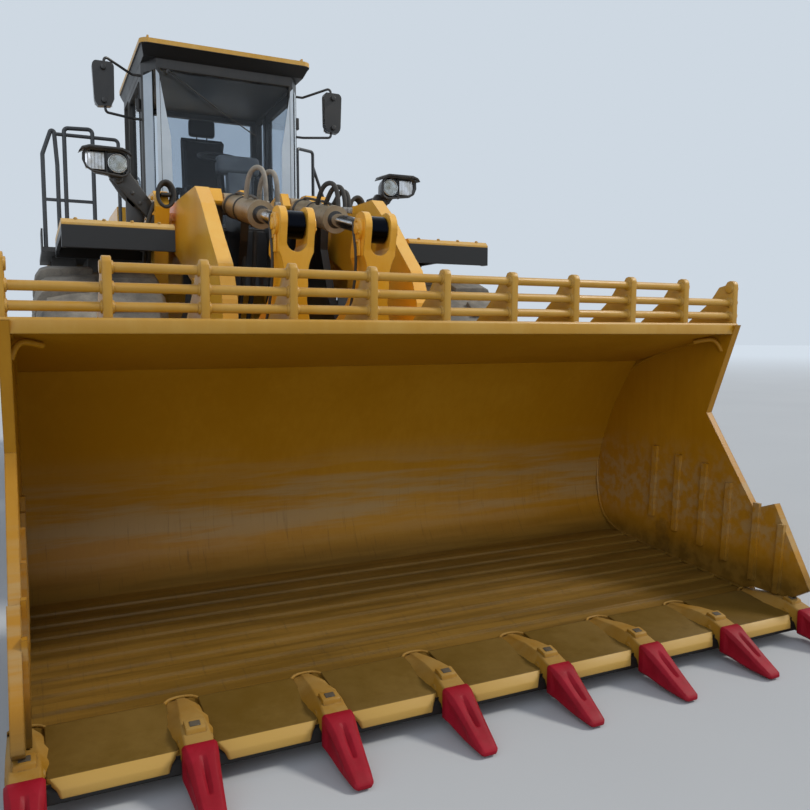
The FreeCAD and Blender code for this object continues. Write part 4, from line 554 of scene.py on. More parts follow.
def fitted(parts, name, finish, body, replaced=(), smooth=True, slot=None):
    """Joins parts, names the piece, gives it its finish, and lets it ride with its body."""
    piece = joined(parts) if isinstance(parts, list) else parts
    slot = slot or SLOTS[finish]
    piece.name = name
    piece.data.name = name
    piece.data.materials.clear()
    piece.data.materials.append(finish)
    if smooth:
        take(piece)
        bpy.ops.object.shade_smooth_by_angle(angle=math.radians(38))
    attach(piece, body)
    if replaced:
        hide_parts(*replaced)
    return piece


def fitted_pair(parts, *settings, **others):
    """One piece of some parts and their mirror images."""
    return fitted(with_mirror(parts), *settings, **others)


def tube(points, radius, closed=False, steps=8, poly=False):
    """A round tube, as a mesh, along a smooth line drawn by its points, or along straight runs."""
    line = bpy.data.curves.new("tube", "CURVE")
    line.dimensions = "3D"
    spline = line.splines.new("POLY" if poly else "NURBS")
    spline.points.add(len(points) - 1)
    for point, place in zip(spline.points, points):
        point.co = (*place, 1)
    spline.use_cyclic_u = closed
    if not poly:
        spline.order_u = 3
        spline.use_endpoint_u = not closed
    spline.resolution_u = steps
    line.bevel_depth = radius
    line.bevel_resolution = 3
    line.use_fill_caps = not closed
    holder = bpy.data.objects.new("tube", line)
    bpy.context.collection.objects.link(holder)
    bpy.context.view_layer.update()
    mesh = bpy.data.meshes.new_from_object(holder.evaluated_get(bpy.context.evaluated_depsgraph_get()))
    bpy.data.objects.remove(holder)
    whole = bpy.data.objects.new("tube", mesh)
    bpy.context.collection.objects.link(whole)
    return whole


def bolt(place, axis, size=0.016):
    """A hexagon bolt head on its washer."""
    place, axis = Vector(place), Vector(axis).normalized()
    washer = round_bar(place - axis * 0.002, place + axis * size * 0.22, size * 1.25, 20)
    head = rounded(round_bar(place, place + axis * size * 0.85, size, 6), size * 0.1)
    return joined([washer, head])


def bolt_ring(centre, axis, radius, count, size=0.016):
    """Bolts on a circle about the X axis."""
    first = bolt((centre[0], centre[1], centre[2] + radius), axis, size)
    middle = Matrix.Translation(centre)
    bolts = [first]
    for number in range(1, count):
        turned = middle @ Matrix.Rotation(2 * math.pi * number / count, 4, "X") @ middle.inverted()
        bolts.append(copied(first, turned))
    return bolts


# Bucket teeth, adapters, edge plates and guard
TOOTH_PLACES = (0.24, 0.72, 1.2, 1.715)
TIP_Y, ROOT_Y = -4.725, -4.47


def inset_faces(piece, test, insets):
    """Insets the faces that pass a test, once for each thickness and depth."""
    bpy.ops.object.mode_set(mode="EDIT")
    bpy.ops.mesh.select_mode(type="FACE")
    bpy.ops.mesh.select_all(action="DESELECT")
    bpy.ops.object.mode_set(mode="OBJECT")
    for face in piece.data.polygons:
        face.select = test(face)
    bpy.ops.object.mode_set(mode="EDIT")
    for thickness, depth in insets:
        bpy.ops.mesh.inset(thickness=thickness, depth=depth)
    bpy.ops.mesh.select_mode(type="VERT")
    bpy.ops.object.mode_set(mode="OBJECT")


def lofted(sections):
    """A closed skin through rings of points, each ring with as many points as the first."""
    clear_selection()
    bpy.ops.mesh.primitive_circle_add(vertices=len(sections[0]), fill_type="NGON")
    piece = settle()
    count = len(sections[0])
    for number, ring_points in enumerate(sections):
        if number:
            bpy.ops.object.mode_set(mode="EDIT")
            bpy.ops.mesh.extrude_region_move()
            bpy.ops.object.mode_set(mode="OBJECT")
        chosen = [vertex for vertex in piece.data.vertices if number == 0 or vertex.select][:count]
        for vertex, place in zip(chosen, ring_points):
            vertex.co = place
        if number == 0:
            for part in (piece.data.vertices, piece.data.edges, piece.data.polygons):
                for item in part:
                    item.select = True
    with editing():
        bpy.ops.mesh.normals_make_consistent(inside=False)
    return piece


def make_tooth():
    """A bullet-nosed cap: broad at its socket, waisted, with a long groove in its top."""
    # From the tip: place, half width, low side, top, corner, groove half width, groove depth
    stations = (
        (0.0, 0.026, 0.01, 0.022, 0.004, 0.009, 0.0), (0.01, 0.036, 0.008, 0.034, 0.009, 0.01, 0.0),
        (0.045, 0.041, 0.009, 0.053, 0.012, 0.01, 0.0), (0.085, 0.044, 0.011, 0.075, 0.013, 0.011, 0.002),
        (0.1, 0.045, 0.012, 0.084, 0.013, 0.012, 0.015), (0.15, 0.049, 0.018, 0.113, 0.015, 0.013, 0.019),
        (0.19, 0.053, 0.026, 0.136, 0.016, 0.012, 0.013), (0.204, 0.055, 0.03, 0.143, 0.016, 0.011, 0.002),
        (0.23, 0.0572, 0.035, 0.156, 0.012, 0.01, 0.0), (0.255, 0.0575, 0.038, 0.159, 0.009, 0.01, 0.0),
    )
    rings = []
    for place, wide, low, top, corner, groove, depth in stations:
        outline = [(wide, low + corner), (wide, top - corner), (wide - corner, top), (groove, top),
                   (0, top - depth), (-groove, top), (corner - wide, top), (-wide, top - corner),
                   (-wide, low + corner), (corner - wide, low), (wide - corner, low)]
        rings.append([(x, TIP_Y + place, z) for x, z in outline])
    cap = lofted(rings)
    inset_faces(cap, lambda face: abs(face.normal.x) > 0.85 and TIP_Y + 0.09 < face.center.y < ROOT_Y - 0.02,
                [(0.012, -0.005)])
    return rounded(cap, 0.0035, 2, 24)


def make_adapter():
    """The strap that carries a cap: a nose, sloping flanks that fade into the floor, and a slotted boss."""
    # Place, half width at the foot and at the top, foot height and top height
    stations = ((ROOT_Y - 0.025, 0.048, 0.046, 0.05, 0.148), (ROOT_Y + 0.012, 0.052, 0.048, 0.052, 0.157),
                (-4.435, 0.058, 0.047, 0.1, 0.164), (-4.39, 0.066, 0.046, 0.116, 0.176),
                (-4.34, 0.078, 0.043, 0.122, 0.18), (-4.27, 0.086, 0.036, 0.13, 0.176),
                (-4.19, 0.078, 0.028, 0.138, 0.164), (-4.11, 0.052, 0.02, 0.145, 0.153))
    rings = []
    for y, foot, top, low, high in stations:
        rings.append([(foot, y, low), (top, y, high - 0.005), (top - 0.006, y, high), (0.006 - top, y, high),
                      (-top, y, high - 0.005), (-foot, y, low)])
    strap = rounded(lofted(rings), 0.004, 2, 30)
    boss = rounded(cut_plate([(-4.425, 0.164), (-4.365, 0.176), (-4.365, 0.19), (-4.372, 0.193),
                              (-4.418, 0.184)], "YZ", (-0.034, 0.034)), 0.005)
    lock = rounded(round_bar((-0.058, -4.4, 0.128), (0.058, -4.4, 0.128), 0.017, 20), 0.003)
    weld = tube([(-0.062, -4.42, 0.121), (-0.082, -4.34, 0.129), (-0.09, -4.27, 0.136), (-0.082, -4.18, 0.144),
                 (-0.055, -4.105, 0.15), (0.0, -4.095, 0.152), (0.055, -4.105, 0.15), (0.082, -4.18, 0.144),
                 (0.09, -4.27, 0.136), (0.082, -4.34, 0.129), (0.062, -4.42, 0.121)], 0.006)
    return joined([strap, boss, lock, weld])


def make_slot_shadow():
    """A black plate as painted shade for the slot in an adapter's boss, where a punch drives its lock."""
    return rounded(cut_plate([(-4.408, 0.1855), (-4.383, 0.1908), (-4.383, 0.1935), (-4.408, 0.1882)], "YZ",
                             (-0.018, 0.018)), 0.001, 1)


def edge_plate(low_x, high_x):
    """A plate welded over the cutting edge, with a narrow sloping front and cut corners."""
    side = [(-4.47, 0.074), (-4.464, 0.1), (-4.436, 0.128), (-4.135, 0.157), (-4.118, 0.15), (-4.41, 0.1225),
            (-4.453, 0.094), (-4.464, 0.072)]
    plate = cut_plate(side, "YZ", (low_x, high_x))
    for x, lean in ((low_x + 0.045, -1), (high_x - 0.045, 1)):
        with editing():
            bpy.ops.mesh.bisect(plane_co=(x, -4.473, 0.1), plane_no=(lean * 0.72, -0.69, 0), use_fill=True,
                                clear_outer=True)
    return rounded(plate, 0.004, 2, 25)


CHEEK_X = 1.771


def trimmed(piece, reach):
    """Cut off flush where it would stand out past the bucket's cheeks."""
    if max(abs(vertex.co.x) for vertex in piece.data.vertices) > reach:
        side = 1 if piece.data.vertices[0].co.x > 0 else -1
        take(piece)
        with editing():
            bpy.ops.mesh.bisect(plane_co=(side * reach, 0, 0), plane_no=(side, 0, 0), use_fill=True,
                                clear_outer=True)
    return piece


teeth, adapters = [], []
tooth, adapter = make_tooth(), make_adapter()
for place in TOOTH_PLACES:
    for centre in (place, -place):
        teeth.append(copied(tooth, shift(centre)))
        adapters.append(trimmed(copied(adapter, shift(centre)), CHEEK_X))
bpy.data.objects.remove(tooth)
bpy.data.objects.remove(adapter)
fitted(teeth, "tooth_caps", tooth_red, "bucket", ["bucket_teeth"])
fitted(adapters, "tooth_straps", adapter_paint, "bucket", ["tooth_adapters"])
# Black plates on the bosses stand for the slots' recesses as painted shade
slot = make_slot_shadow()
slots = [copied(slot, shift(side * place)) for place in TOOTH_PLACES for side in (1, -1)]
bpy.data.objects.remove(slot)
fitted(slots, "adapter_slot_shadows", black_paint, "bucket")
right_gaps = list(zip(TOOTH_PLACES, TOOTH_PLACES[1:]))
gaps = [(-0.24, 0.24)] + right_gaps + [(-b, -a) for a, b in right_gaps]
fitted([edge_plate(a + 0.058, b - 0.058) for a, b in gaps], "edge_plates", edge_paint, "bucket")

LIP_Y, FOOT_Z = -3.958, 1.536
RAIL_Y = LIP_Y + 0.03
RAIL_HEIGHTS = (1.59, 1.66, 1.733)
POST_STEP = 0.348


def make_guard():
    """Gusset posts with knobbed heads, three pipes through them, and the bar along the lip."""
    post_side = [(LIP_Y + 0.002, FOOT_Z - 0.002), (LIP_Y, 1.752), (LIP_Y + 0.008, 1.768),
                 (LIP_Y + 0.026, 1.775), (LIP_Y + 0.046, 1.77), (LIP_Y + 0.058, 1.752), (LIP_Y + 0.1, 1.744),
                 (LIP_Y + 0.13, 1.706), (LIP_Y + 0.17, 1.66), (-3.645, 1.56), (-3.637, 1.546), (-3.655, 1.522)]
    post = rounded(cut_plate(post_side, "YZ", (-0.017, 0.017)), 0.004, 2, 25)
    parts = [post]
    for height in RAIL_HEIGHTS:
        collar = rounded(round_bar((-0.025, RAIL_Y, height), (0.025, RAIL_Y, height), 0.025, 28), 0.004)
        parts.append(collar)
    foot = tube([(0.02, LIP_Y + 0.01, FOOT_Z + 0.003), (0.02, -3.8, FOOT_Z - 0.001),
                 (0.02, -3.66, FOOT_Z - 0.008)], 0.006)
    parts += [foot, copied(foot, ACROSS)]
    post = joined(parts)
    posts = [copied(post, shift(POST_STEP * step)) for step in range(-5, 6)]
    bpy.data.objects.remove(post)
    pipes = [round_bar((-reach, RAIL_Y, height), (reach, RAIL_Y, height), 0.0185, 32)
             for reach, height in zip((1.74, 1.74, 1.41), RAIL_HEIGHTS)]
    lip = cut_plate([(LIP_Y - 0.014, FOOT_Z - 0.044), (LIP_Y - 0.014, FOOT_Z + 0.006),
                     (LIP_Y - 0.006, FOOT_Z + 0.014), (LIP_Y + 0.05, FOOT_Z + 0.014),
                     (LIP_Y + 0.06, FOOT_Z + 0.004), (LIP_Y + 0.06, FOOT_Z - 0.004),
                     (LIP_Y + 0.002, FOOT_Z - 0.002), (LIP_Y + 0.0, FOOT_Z - 0.044)], "YZ", (-1.75, 1.75))
    return posts + [rounded(pipe, 0.004) for pipe in pipes] + [rounded(lip, 0.003)]


fitted(make_guard(), "guard_bars", guard_paint, "bucket", ["spill_guard"])


def make_bucket_welds():
    """Fillet welds where the cheeks meet the shell, and the bent bars in the upper corners."""
    x = 1.708
    seam = tube([(x, y, z) for y, z in ((-4.42, 0.124), (-3.9, 0.166), (-3.4, 0.21), (-3.1, 0.238),
                                        (-2.955, 0.33), (-2.912, 0.5), (-2.905, 0.64), (-2.925, 0.86),
                                        (-3.0, 1.05), (-3.13, 1.22), (-3.27, 1.325), (-3.6, 1.418),
                                        (-3.93, 1.496))], 0.007, steps=10)
    corner = tube([(x + 0.006, -3.9, 1.4), (x - 0.012, -3.88, 1.462), (x - 0.06, -3.84, 1.462),
                   (x - 0.1, -3.8, 1.448)], 0.012)
    return [seam, corner]


fitted_pair(make_bucket_welds(), "bucket_welds", bucket_paint, "bucket")


# Lamps on their arms
def make_lamp():
    """One lamp: a deep black hood with a peak, a round lens and a square one, and its arm."""
    face = [(0.985, 2.602), (1.02, 2.588), (1.215, 2.612), (1.262, 2.64), (1.284, 2.69), (1.282, 2.738),
            (1.262, 2.768), (1.225, 2.78), (1.035, 2.78), (0.992, 2.764), (0.972, 2.72), (0.97, 2.64)]
    hood = cut_plate(face, "XZ", (-0.9, -1.066))
    for vertex in hood.data.vertices:
        if vertex.co.y > -1.0:
            vertex.co.x = 1.1 + (vertex.co.x - 1.1) * 0.72
            vertex.co.z = 2.69 + (vertex.co.z - 2.69) * 0.78
    inset_faces(hood, lambda face: face.normal.y < -0.9, [(0.016, 0.0), (0.004, -0.04)])
    hood = rounded(hood, 0.006, 3, 24)
    peak = cut_plate([(0.955, 2.745), (0.972, 2.778), (1.02, 2.798), (1.235, 2.8), (1.282, 2.784),
                      (1.302, 2.752), (1.276, 2.768), (1.23, 2.782), (1.028, 2.782), (0.988, 2.766)], "XZ",
                     (-1.104, -0.94))
    for vertex in peak.data.vertices:
        if vertex.co.y < -1.05:
            vertex.co.z -= 0.012
    peak = rounded(peak, 0.004, 2, 24)
    divider = rounded(block((1.12, -1.062, 2.6), (1.128, -1.03, 2.775)), 0.002)
    arm = rounded(cut_plate([(0.811, 2.29), (1.06, 2.56), (1.11, 2.612), (0.96, 2.64), (0.811, 2.44)], "XZ",
                            (-0.985, -0.935)), 0.008)
    brace = rounded(cut_plate([(0.94, 2.4), (1.02, 2.48), (1.1, 2.6), (1.02, 2.64), (0.9, 2.6), (0.87, 2.45)],
                              "XZ", (-0.935, -0.9)), 0.006)
    guard = rounded(block((0.87, -0.935, 2.176), (0.99, -0.905, 2.48)), 0.006)
    knuckle = rounded(round_bar((1.045, -1.0, 2.592), (1.045, -0.905, 2.592), 0.034), 0.004)
    bolts = [bolt((1.045, -1.0, 2.592), (0, -1, 0), 0.013), bolt((0.9, -0.986, 2.43), (0, -1, 0), 0.011),
             bolt((0.95, -0.986, 2.5), (0, -1, 0), 0.011), bolt((0.9, -0.936, 2.26), (0, -1, 0), 0.01),
             bolt((0.96, -0.936, 2.26), (0, -1, 0), 0.01)]
    bowl = [ring((1.048, -1.052, 2.686), (0, 1, 0), 0.062, 0.006, 48),
            round_bar((1.048, -1.03, 2.686), (1.048, -1.05, 2.686), 0.022, 40, 0.06),
            round_bar((1.048, -1.03, 2.686), (1.048, -1.056, 2.686), 0.014, 20, 0.009)]
    square = rounded(block((1.134, -1.046, 2.635), (1.262, -1.04, 2.755)), 0.01, 3)
    ribs = [rounded(block((x, -1.05, 2.64), (x + 0.006, -1.044, 2.75)), 0.002, 1)
            for x in (1.152, 1.174, 1.196, 1.218, 1.24)]
    cover = rounded(block((0.992, -1.062, 2.62), (1.116, -1.057, 2.76)), 0.0025)
    return [hood, peak, divider, arm, brace, guard, knuckle] + bolts, bowl + [square] + ribs, [cover]


lamp_black, lamp_bright, lamp_clear = make_lamp()
fitted_pair(lamp_black, "lamp_housings", black_paint, "front_body", ["headlamps"])
fitted_pair(lamp_bright, "lamp_bowls", rod_chrome, "front_body")
fitted_pair(lamp_clear, "lamp_covers", lamp_glass, "front_body")


# Pins, keeper plates and bolts
def pin_end(place, side, radius=0.075, bolts=3):
    """A pin's end cap with its keeper plate and bolts, facing along X."""
    x, y, z = place
    cap = rounded(round_bar((x - side * 0.004, y, z), (x + side * 0.018, y, z), radius, 40), 0.004)
    hub = rounded(round_bar((x, y, z), (x + side * 0.026, y, z), radius * 0.5, 32), 0.004)
    return [cap, hub] + bolt_ring((x + side * 0.017, y, z), (side, 0, 0), radius * 0.74, bolts, 0.009)


def keeper(place, side, reach=(0.0, 0.1)):
    """A flat bar bolted beside a pin so that it can't turn."""
    x, y, z = place
    bar = rounded(side_block(x, side * 0.014, (y - 0.024, z + reach[0]), (y + 0.024, z + reach[1])), 0.004)
    return [bar, bolt((x + side * 0.013, y, z + reach[1] - 0.022), (side, 0, 0), 0.01)]


# Pins across the machine, as (y, z)
ARM_PIN, CRANK_PIN, BUCKET_PIN, LINK_PIN = (-0.825, 2.28), (-2.265, 1.45), (-2.775, 0.46), (-2.845, 0.9)
CRANK_TOP, CRANK_LOW = (-2.565, 2.12), (-2.065, 0.74)
TILT_BASE, LIFT_BASE, LIFT_EYE = (-0.985, 2.47), (-0.525, 0.9), (-1.805, 1.6)
TILT_X, LIFT_X = 0.258, 0.615
# The towers' outer face, and the cranks' two outer faces
TOWER_X, CRANK_FACES = 0.811, ((0.361, 1), (0.155, -1))
frame_pins = pin_end((0.825, *ARM_PIN), 1, 0.085, 5) + keeper((0.812, -0.825, 2.365), 1)
frame_pins += [bolt((TOWER_X, y, z), (1, 0, 0), 0.015) for y, z in ((-1.02, 2.36), (-0.96, 2.48), (-0.76, 2.48),
                                                                    (-0.64, 2.36), (-0.62, 2.0), (-0.9, 1.95))]
frame_pins += pin_end((0.808, *LIFT_BASE), 1, 0.07, 4)
fitted_pair(frame_pins, "frame_pin_caps", machine_yellow, "front_body")
crank_pins = []
for x, side in CRANK_FACES:
    crank_pins += pin_end((x, *CRANK_TOP), side, 0.066, 3)
    crank_pins += pin_end((x, *CRANK_LOW), side, 0.062, 3)
    crank_pins += [rounded(round_bar((x - side * 0.002, *CRANK_PIN), (x + side * 0.012, *CRANK_PIN), 0.118, 48),
                           0.004)]
    crank_pins += keeper((x, CRANK_TOP[0], 2.02), side, (-0.06, 0.05))
fitted_pair(crank_pins, "crank_pin_caps", machine_yellow, "bell_crank_pair")
arm_pins = pin_end((0.662, *LIFT_EYE), 1, 0.07, 4) + [bolt((0.662, y, z), (1, 0, 0), 0.013)
                                                      for y, z in ((-0.95, 2.33), (-0.72, 2.24))]
fitted_pair(arm_pins, "arm_pin_caps", machine_yellow, "lift_arm")
bucket_pins = pin_end((0.752, *BUCKET_PIN), 1, 0.075, 4) + pin_end((0.38, *LINK_PIN), 1, 0.06, 3)
fitted_pair(bucket_pins, "bucket_pin_caps", bucket_paint, "bucket")


# Cylinder heads and their pipes
def cylinder_trim(x, base, eye, barrel_end, radius, rod_radius):
    """Gland nut, tie bands and a steel pipe along a barrel; places are shares of metres along it."""
    start, end = Vector((x, *base)), Vector((x, *eye))
    way = (end - start).normalized()
    gland = rounded(round_bar(start + way * (barrel_end - 0.085), start + way * (barrel_end - 0.002),
                              radius + 0.008, 12), 0.004)
    seal = rounded(round_bar(start + way * (barrel_end - 0.004), start + way * (barrel_end + 0.002),
                             rod_radius + 0.014, 36), 0.002)
    bands = [ring(start + way * place, way, radius + 0.001, 0.008, 44)
             for place in (0.22, 0.238, barrel_end * 0.55)]
    upward = way.cross(Vector((1, 0, 0))).normalized()
    if upward.z < 0:
        upward = -upward
    lift = radius + 0.018
    pipe = tube([start + way * 0.2 + upward * (lift - 0.02), start + way * 0.22 + upward * lift,
                 start + way * (barrel_end * 0.5) + upward * lift,
                 start + way * (barrel_end - 0.1) + upward * lift,
                 start + way * (barrel_end - 0.06) + upward * (lift - 0.03)], 0.01)
    return [gland, seal, pipe] + bands


tilt_trim = cylinder_trim(TILT_X, TILT_BASE, CRANK_TOP, 0.93, 0.084, 0.045)
fitted_pair(tilt_trim, "tilt_cylinder_heads", black_paint, "tilt_barrel_pair", slot="barrel_paint")
lift_trim = cylinder_trim(LIFT_X, LIFT_BASE, LIFT_EYE, 1.275, 0.092, 0.052)
fitted_pair(lift_trim, "lift_cylinder_heads", black_paint, "lift_barrel_pair", slot="barrel_paint")


# Wheels
def make_tyre():
    """A rock tyre about the X axis: beads, ribbed sidewalls, and two rows of broad leaning lugs."""
    right = [(0.286, 0.3305), (0.325, 0.345), (0.356, 0.4), (0.372, 0.47), (0.3815, 0.545), (0.3835, 0.56),
             (0.3835, 0.572), (0.3815, 0.585), (0.384, 0.66), (0.38, 0.74), (0.372, 0.815), (0.352, 0.872),
             (0.31, 0.915), (0.19, 0.929), (0.0, 0.932)]
    loop = right + [(-x, r) for x, r in reversed(right[:-1])]
    clear_selection()
    bpy.ops.mesh.primitive_circle_add(vertices=len(loop), fill_type="NOTHING")
    body = settle()
    for vertex, (x, r) in zip(body.data.vertices, loop):
        vertex.co = (x, 0, r)
    with editing():
        bpy.ops.mesh.spin(steps=108, angle=2 * math.pi, center=(0, 0, 0), axis=(1, 0, 0))
        bpy.ops.mesh.select_all(action="SELECT")
        bpy.ops.mesh.remove_doubles(threshold=0.0002)
        bpy.ops.mesh.normals_make_consistent(inside=False)
    lug = cut_plate([(0.032, 0.9), (0.032, 0.9635), (0.29, 0.963), (0.338, 0.949), (0.366, 0.905),
                     (0.3835, 0.8), (0.376, 0.755), (0.3, 0.8)], "XZ", (-0.074, 0.074))
    for vertex in lug.data.vertices:
        vertex.co.y *= 1.12 if vertex.co.x > 0.25 else 0.96
        vertex.co.y += (vertex.co.x - 0.2) * 0.14
    lug = rounded(lug, 0.009, 2, 24)
    lugs = []
    other = copied(lug, Matrix.Rotation(math.pi, 4, "Z"))
    for number in range(18):
        turn = 2 * math.pi * number / 18
        lugs.append(copied(lug, Matrix.Rotation(turn, 4, "X")))
        lugs.append(copied(other, Matrix.Rotation(turn + math.pi / 18, 4, "X")))
    bpy.data.objects.remove(lug)
    bpy.data.objects.remove(other)
    return joined([body] + lugs)


TRACK_HALF, AXLE_Z = 1.24, 0.968
AXLES = (("front", -1.345), ("rear", 2.455))
tyre = make_tyre()
for end, y in AXLES:
    for side_name, side in (("left", 1), ("right", -1)):
        wheel = "%s_%s" % (end, side_name)
        whole = copied(tyre, shift(side * TRACK_HALF, y, AXLE_Z))
        fitted(whole, "rock_tyre_" + wheel, tyre_rubber, "wheel_" + wheel, ["tyre_" + wheel])
        face = side * TRACK_HALF + side * 0.14
        studs = bolt_ring((face, y, AXLE_Z), (side, 0, 0), 0.212, 20, 0.014)
        studs += bolt_ring((side * (TRACK_HALF + 0.322), y, AXLE_Z), (side, 0, 0), 0.307, 1, 0.008)
        band = ring((face + side * 0.002, y, AXLE_Z), (1, 0, 0), 0.25, 0.006, 64)
        fitted(studs + [band], "wheel_studs_" + wheel, machine_yellow, "wheel_" + wheel, slot="rim_paint")
bpy.data.objects.remove(tyre)
for end, y in AXLES:
    caps = bolt_ring((1.454, y, AXLE_Z), (1, 0, 0), 0.088, 10, 0.011)
    caps += [rounded(round_bar((1.45, y, AXLE_Z), (1.468, y, AXLE_Z), 0.034, 32), 0.004)]
    fitted_pair(caps, "hub_caps_%s_body" % end, machine_yellow, end + "_body")


# Hoses, fixed along their clipped routes
def arch(x, lean, drop):
    """One hose loop over a tilt cylinder, from the pipe on its barrel to its head."""
    return tube([(x - 0.045, -1.7, 2.4), (x - 0.05, -1.74, 2.5 - drop), (x - 0.028, -1.8, 2.58 - drop),
                 (x + lean * 0.5, -1.85, 2.585 - drop), (x + lean, -1.885, 2.5 - drop),
                 (x + lean, -1.885, 2.35)], 0.0165, steps=10)


left_arches = [arch(-0.262, 0.04, 0.0), arch(-0.175, 0.03, 0.02)]
fitted(left_arches, "left_cylinder_hoses", hose_tan, "tilt_barrel_pair")
right_arches = [arch(0.24, 0.04, 0.06), arch(0.3, 0.03, 0.08), arch(0.35, 0.01, 0.11)]
fitted(right_arches, "right_cylinder_hoses", hose_rubber, "tilt_barrel_pair")
cuffs = [rounded(round_bar((x, -1.885, 2.36), (x, -1.88, 2.32), 0.024, 6), 0.003)
         for x in (-0.222, -0.145, 0.28, 0.33, 0.36)]
fitted(cuffs, "hose_cuffs", bare_steel, "tilt_barrel_pair")
crank_lines = []
for x in (0.143, -0.373):
    crank_lines.append(tube([(x, -2.5, 2.18), (x - 0.012, -2.53, 2.1), (x - 0.006, -2.56, 1.96),
                             (x + 0.01, -2.49, 1.8), (x + 0.01, -2.42, 1.66), (x + 0.004, -2.36, 1.56)],
                            0.0085))
fitted(crank_lines, "crank_grease_lines", hose_rubber, "bell_crank_pair")


def tower_hoses():
    """Three loops clipped to the tower's front edge, and the pair that runs down to the frame."""
    parts = []
    for number in range(3):
        y, grow = -1.05 - 0.03 * number, 0.006 * number
        loop = [(0.735 + (0.05 + grow) * math.sin(turn), y - 0.01 * math.cos(turn),
                 2.49 + (0.082 + grow) * math.cos(turn)) for turn in [math.radians(angle)
                                                                      for angle in range(0, 360, 45)]]
        parts.append(tube(loop, 0.0135, closed=True))
    for shift in (0.0, 0.032):
        x = 0.832 + shift
        parts.append(tube([(x - 0.06, -1.04, 2.44), (x - 0.02, -1.02, 2.34), (x, -0.98, 2.22), (x, -0.9, 2.1),
                           (x, -0.8, 1.96), (x, -0.74, 1.8)], 0.015))
    parts.append(rounded(block((0.815, -0.95, 2.1), (0.89, -0.83, 2.13)), 0.004))
    parts.append(rounded(block((0.7, -1.12, 2.48), (0.77, -1.03, 2.5)), 0.004))
    return parts


fitted_pair(tower_hoses(), "tower_hoses", hose_rubber, "front_body")
frame_lines = [tube([(x, -0.62, 1.3), (x, -0.8, 1.62), (x + 0.02, -0.95, 1.95), (x + 0.02, -0.98, 2.28)], 0.019)
               for x in (-0.16, -0.08, 0.06, 0.14)]
fitted(frame_lines, "frame_lines", hose_rubber, "front_body")
FENDER_TOP = 2.176
fender_bolts = [bolt((x, y, FENDER_TOP), (0, 0, 1), 0.01)
                for x, y in ((0.9, -1.87), (1.06, -1.87), (1.22, -1.87), (1.38, -1.87), (1.43, -1.5),
                             (1.43, -1.15))]
fitted_pair(fender_bolts, "fender_bolts", fender_paint, "front_body")


# Cab outside
CAB_SIDE, SCREEN_Y = 0.7015, 0.1165


def cab_trim():
    """Rubber round the windscreen, the doors' windows and the windows behind them."""
    screen = [(x, SCREEN_Y, z) for x, z in ((-0.572, 2.442), (0.572, 2.442), (0.572, 3.748), (-0.572, 3.748))]
    parts = [tube(screen, 0.009, closed=True, poly=True)]
    for x in (CAB_SIDE, -CAB_SIDE):
        for front, rear, low, high in ((0.428, 1.147, 2.552, 3.698), (1.262, 1.548, 2.772, 3.748)):
            window = [(x, front, low), (x, rear, low), (x, rear, high), (x, front, high)]
            parts.append(tube(window, 0.007, closed=True, poly=True))
    return parts


fitted(cab_trim(), "cab_seals", hose_rubber, "rear_body", slot="dark_paint")
for side, body in ((1, "door_l"), (-1, "door_r")):
    x = side * CAB_SIDE
    grip = tube([(x, 1.165, 2.86), (x + side * 0.03, 1.165, 2.87), (x + side * 0.03, 1.165, 3.01),
                 (x, 1.165, 3.02)], 0.009)
    latch = rounded(side_block(x, side * 0.016, (1.15, 2.78), (1.195, 2.84)), 0.004)
    ribs = [rounded(side_block(x, side * 0.004, (0.44, z), (1.13, z + 0.012)), 0.002, 1)
            for z in (2.32, 2.4, 2.48)]
    fitted([grip, latch] + ribs, "door_handle_" + body[-1], black_paint, body)
wiper = [rounded(round_bar((-0.5, 0.104, 3.725), (-0.5, 0.12, 3.725), 0.02, 20), 0.003),
         tube([(-0.5, 0.098, 3.725), (-0.1, 0.098, 3.47)], 0.006, poly=True),
         rounded(cut_plate([(-0.16, 3.507), (-0.154, 3.497), (0.245, 3.262), (0.251, 3.272)], "XZ",
                           (0.1, 0.108)), 0.002, 1)]
fitted(wiper, "wiper", black_paint, "rear_body")


def corner_reflection_pane(side):
    """A pale opaque sheet on a corner window, as painted reflection."""
    inner, outer = (side * 0.628, 0.158), (side * 0.688, 0.308)
    pane = cut_plate([(0.0, 2.47), (1.0, 2.47), (1.0, 3.72), (0.0, 3.72)], "XZ", (0.0, 0.003))
    for vertex in pane.data.vertices:
        share, depth = vertex.co.x, vertex.co.y
        vertex.co.x = inner[0] + (outer[0] - inner[0]) * share + side * depth
        vertex.co.y = inner[1] + (outer[1] - inner[1]) * share - depth
    return pane


ROOF_TOP = 3.943
# Pale strips at the windscreen's sides, painted reflection too
screen_edge_reflection = cut_plate([(0.604, 2.46), (0.482, 2.46), (0.492, 3.18), (0.578, 3.7), (0.604, 3.73)], "XZ",
                        (0.1085, 0.1115))
fitted([corner_reflection_pane(1), corner_reflection_pane(-1)] + with_mirror([screen_edge_reflection]), "corner_reflection_panes", painted_reflection_film, "rear_body",
       smooth=False)
roof_bolts = [bolt((0.66, y, ROOF_TOP), (0, 0, 1), 0.01) for y in (0.06, 0.6, 1.1, 1.58)]
fitted_pair(roof_bolts, "roof_bolts", roof_paint, "rear_body")
mirror_faces = [rounded(block((0.946, 0.249, 3.412), (1.086, 0.2535, 3.742)), 0.002)]
fitted_pair(mirror_faces, "mirror_faces", rod_chrome, "rear_body")
mirror_ribs = [rounded(round_bar((1.016, 0.175, z), (1.016, 0.15, z), 0.022), 0.004) for z in (3.44, 3.71)]
fitted_pair(mirror_ribs, "mirror_clamps", black_paint, "rear_body")


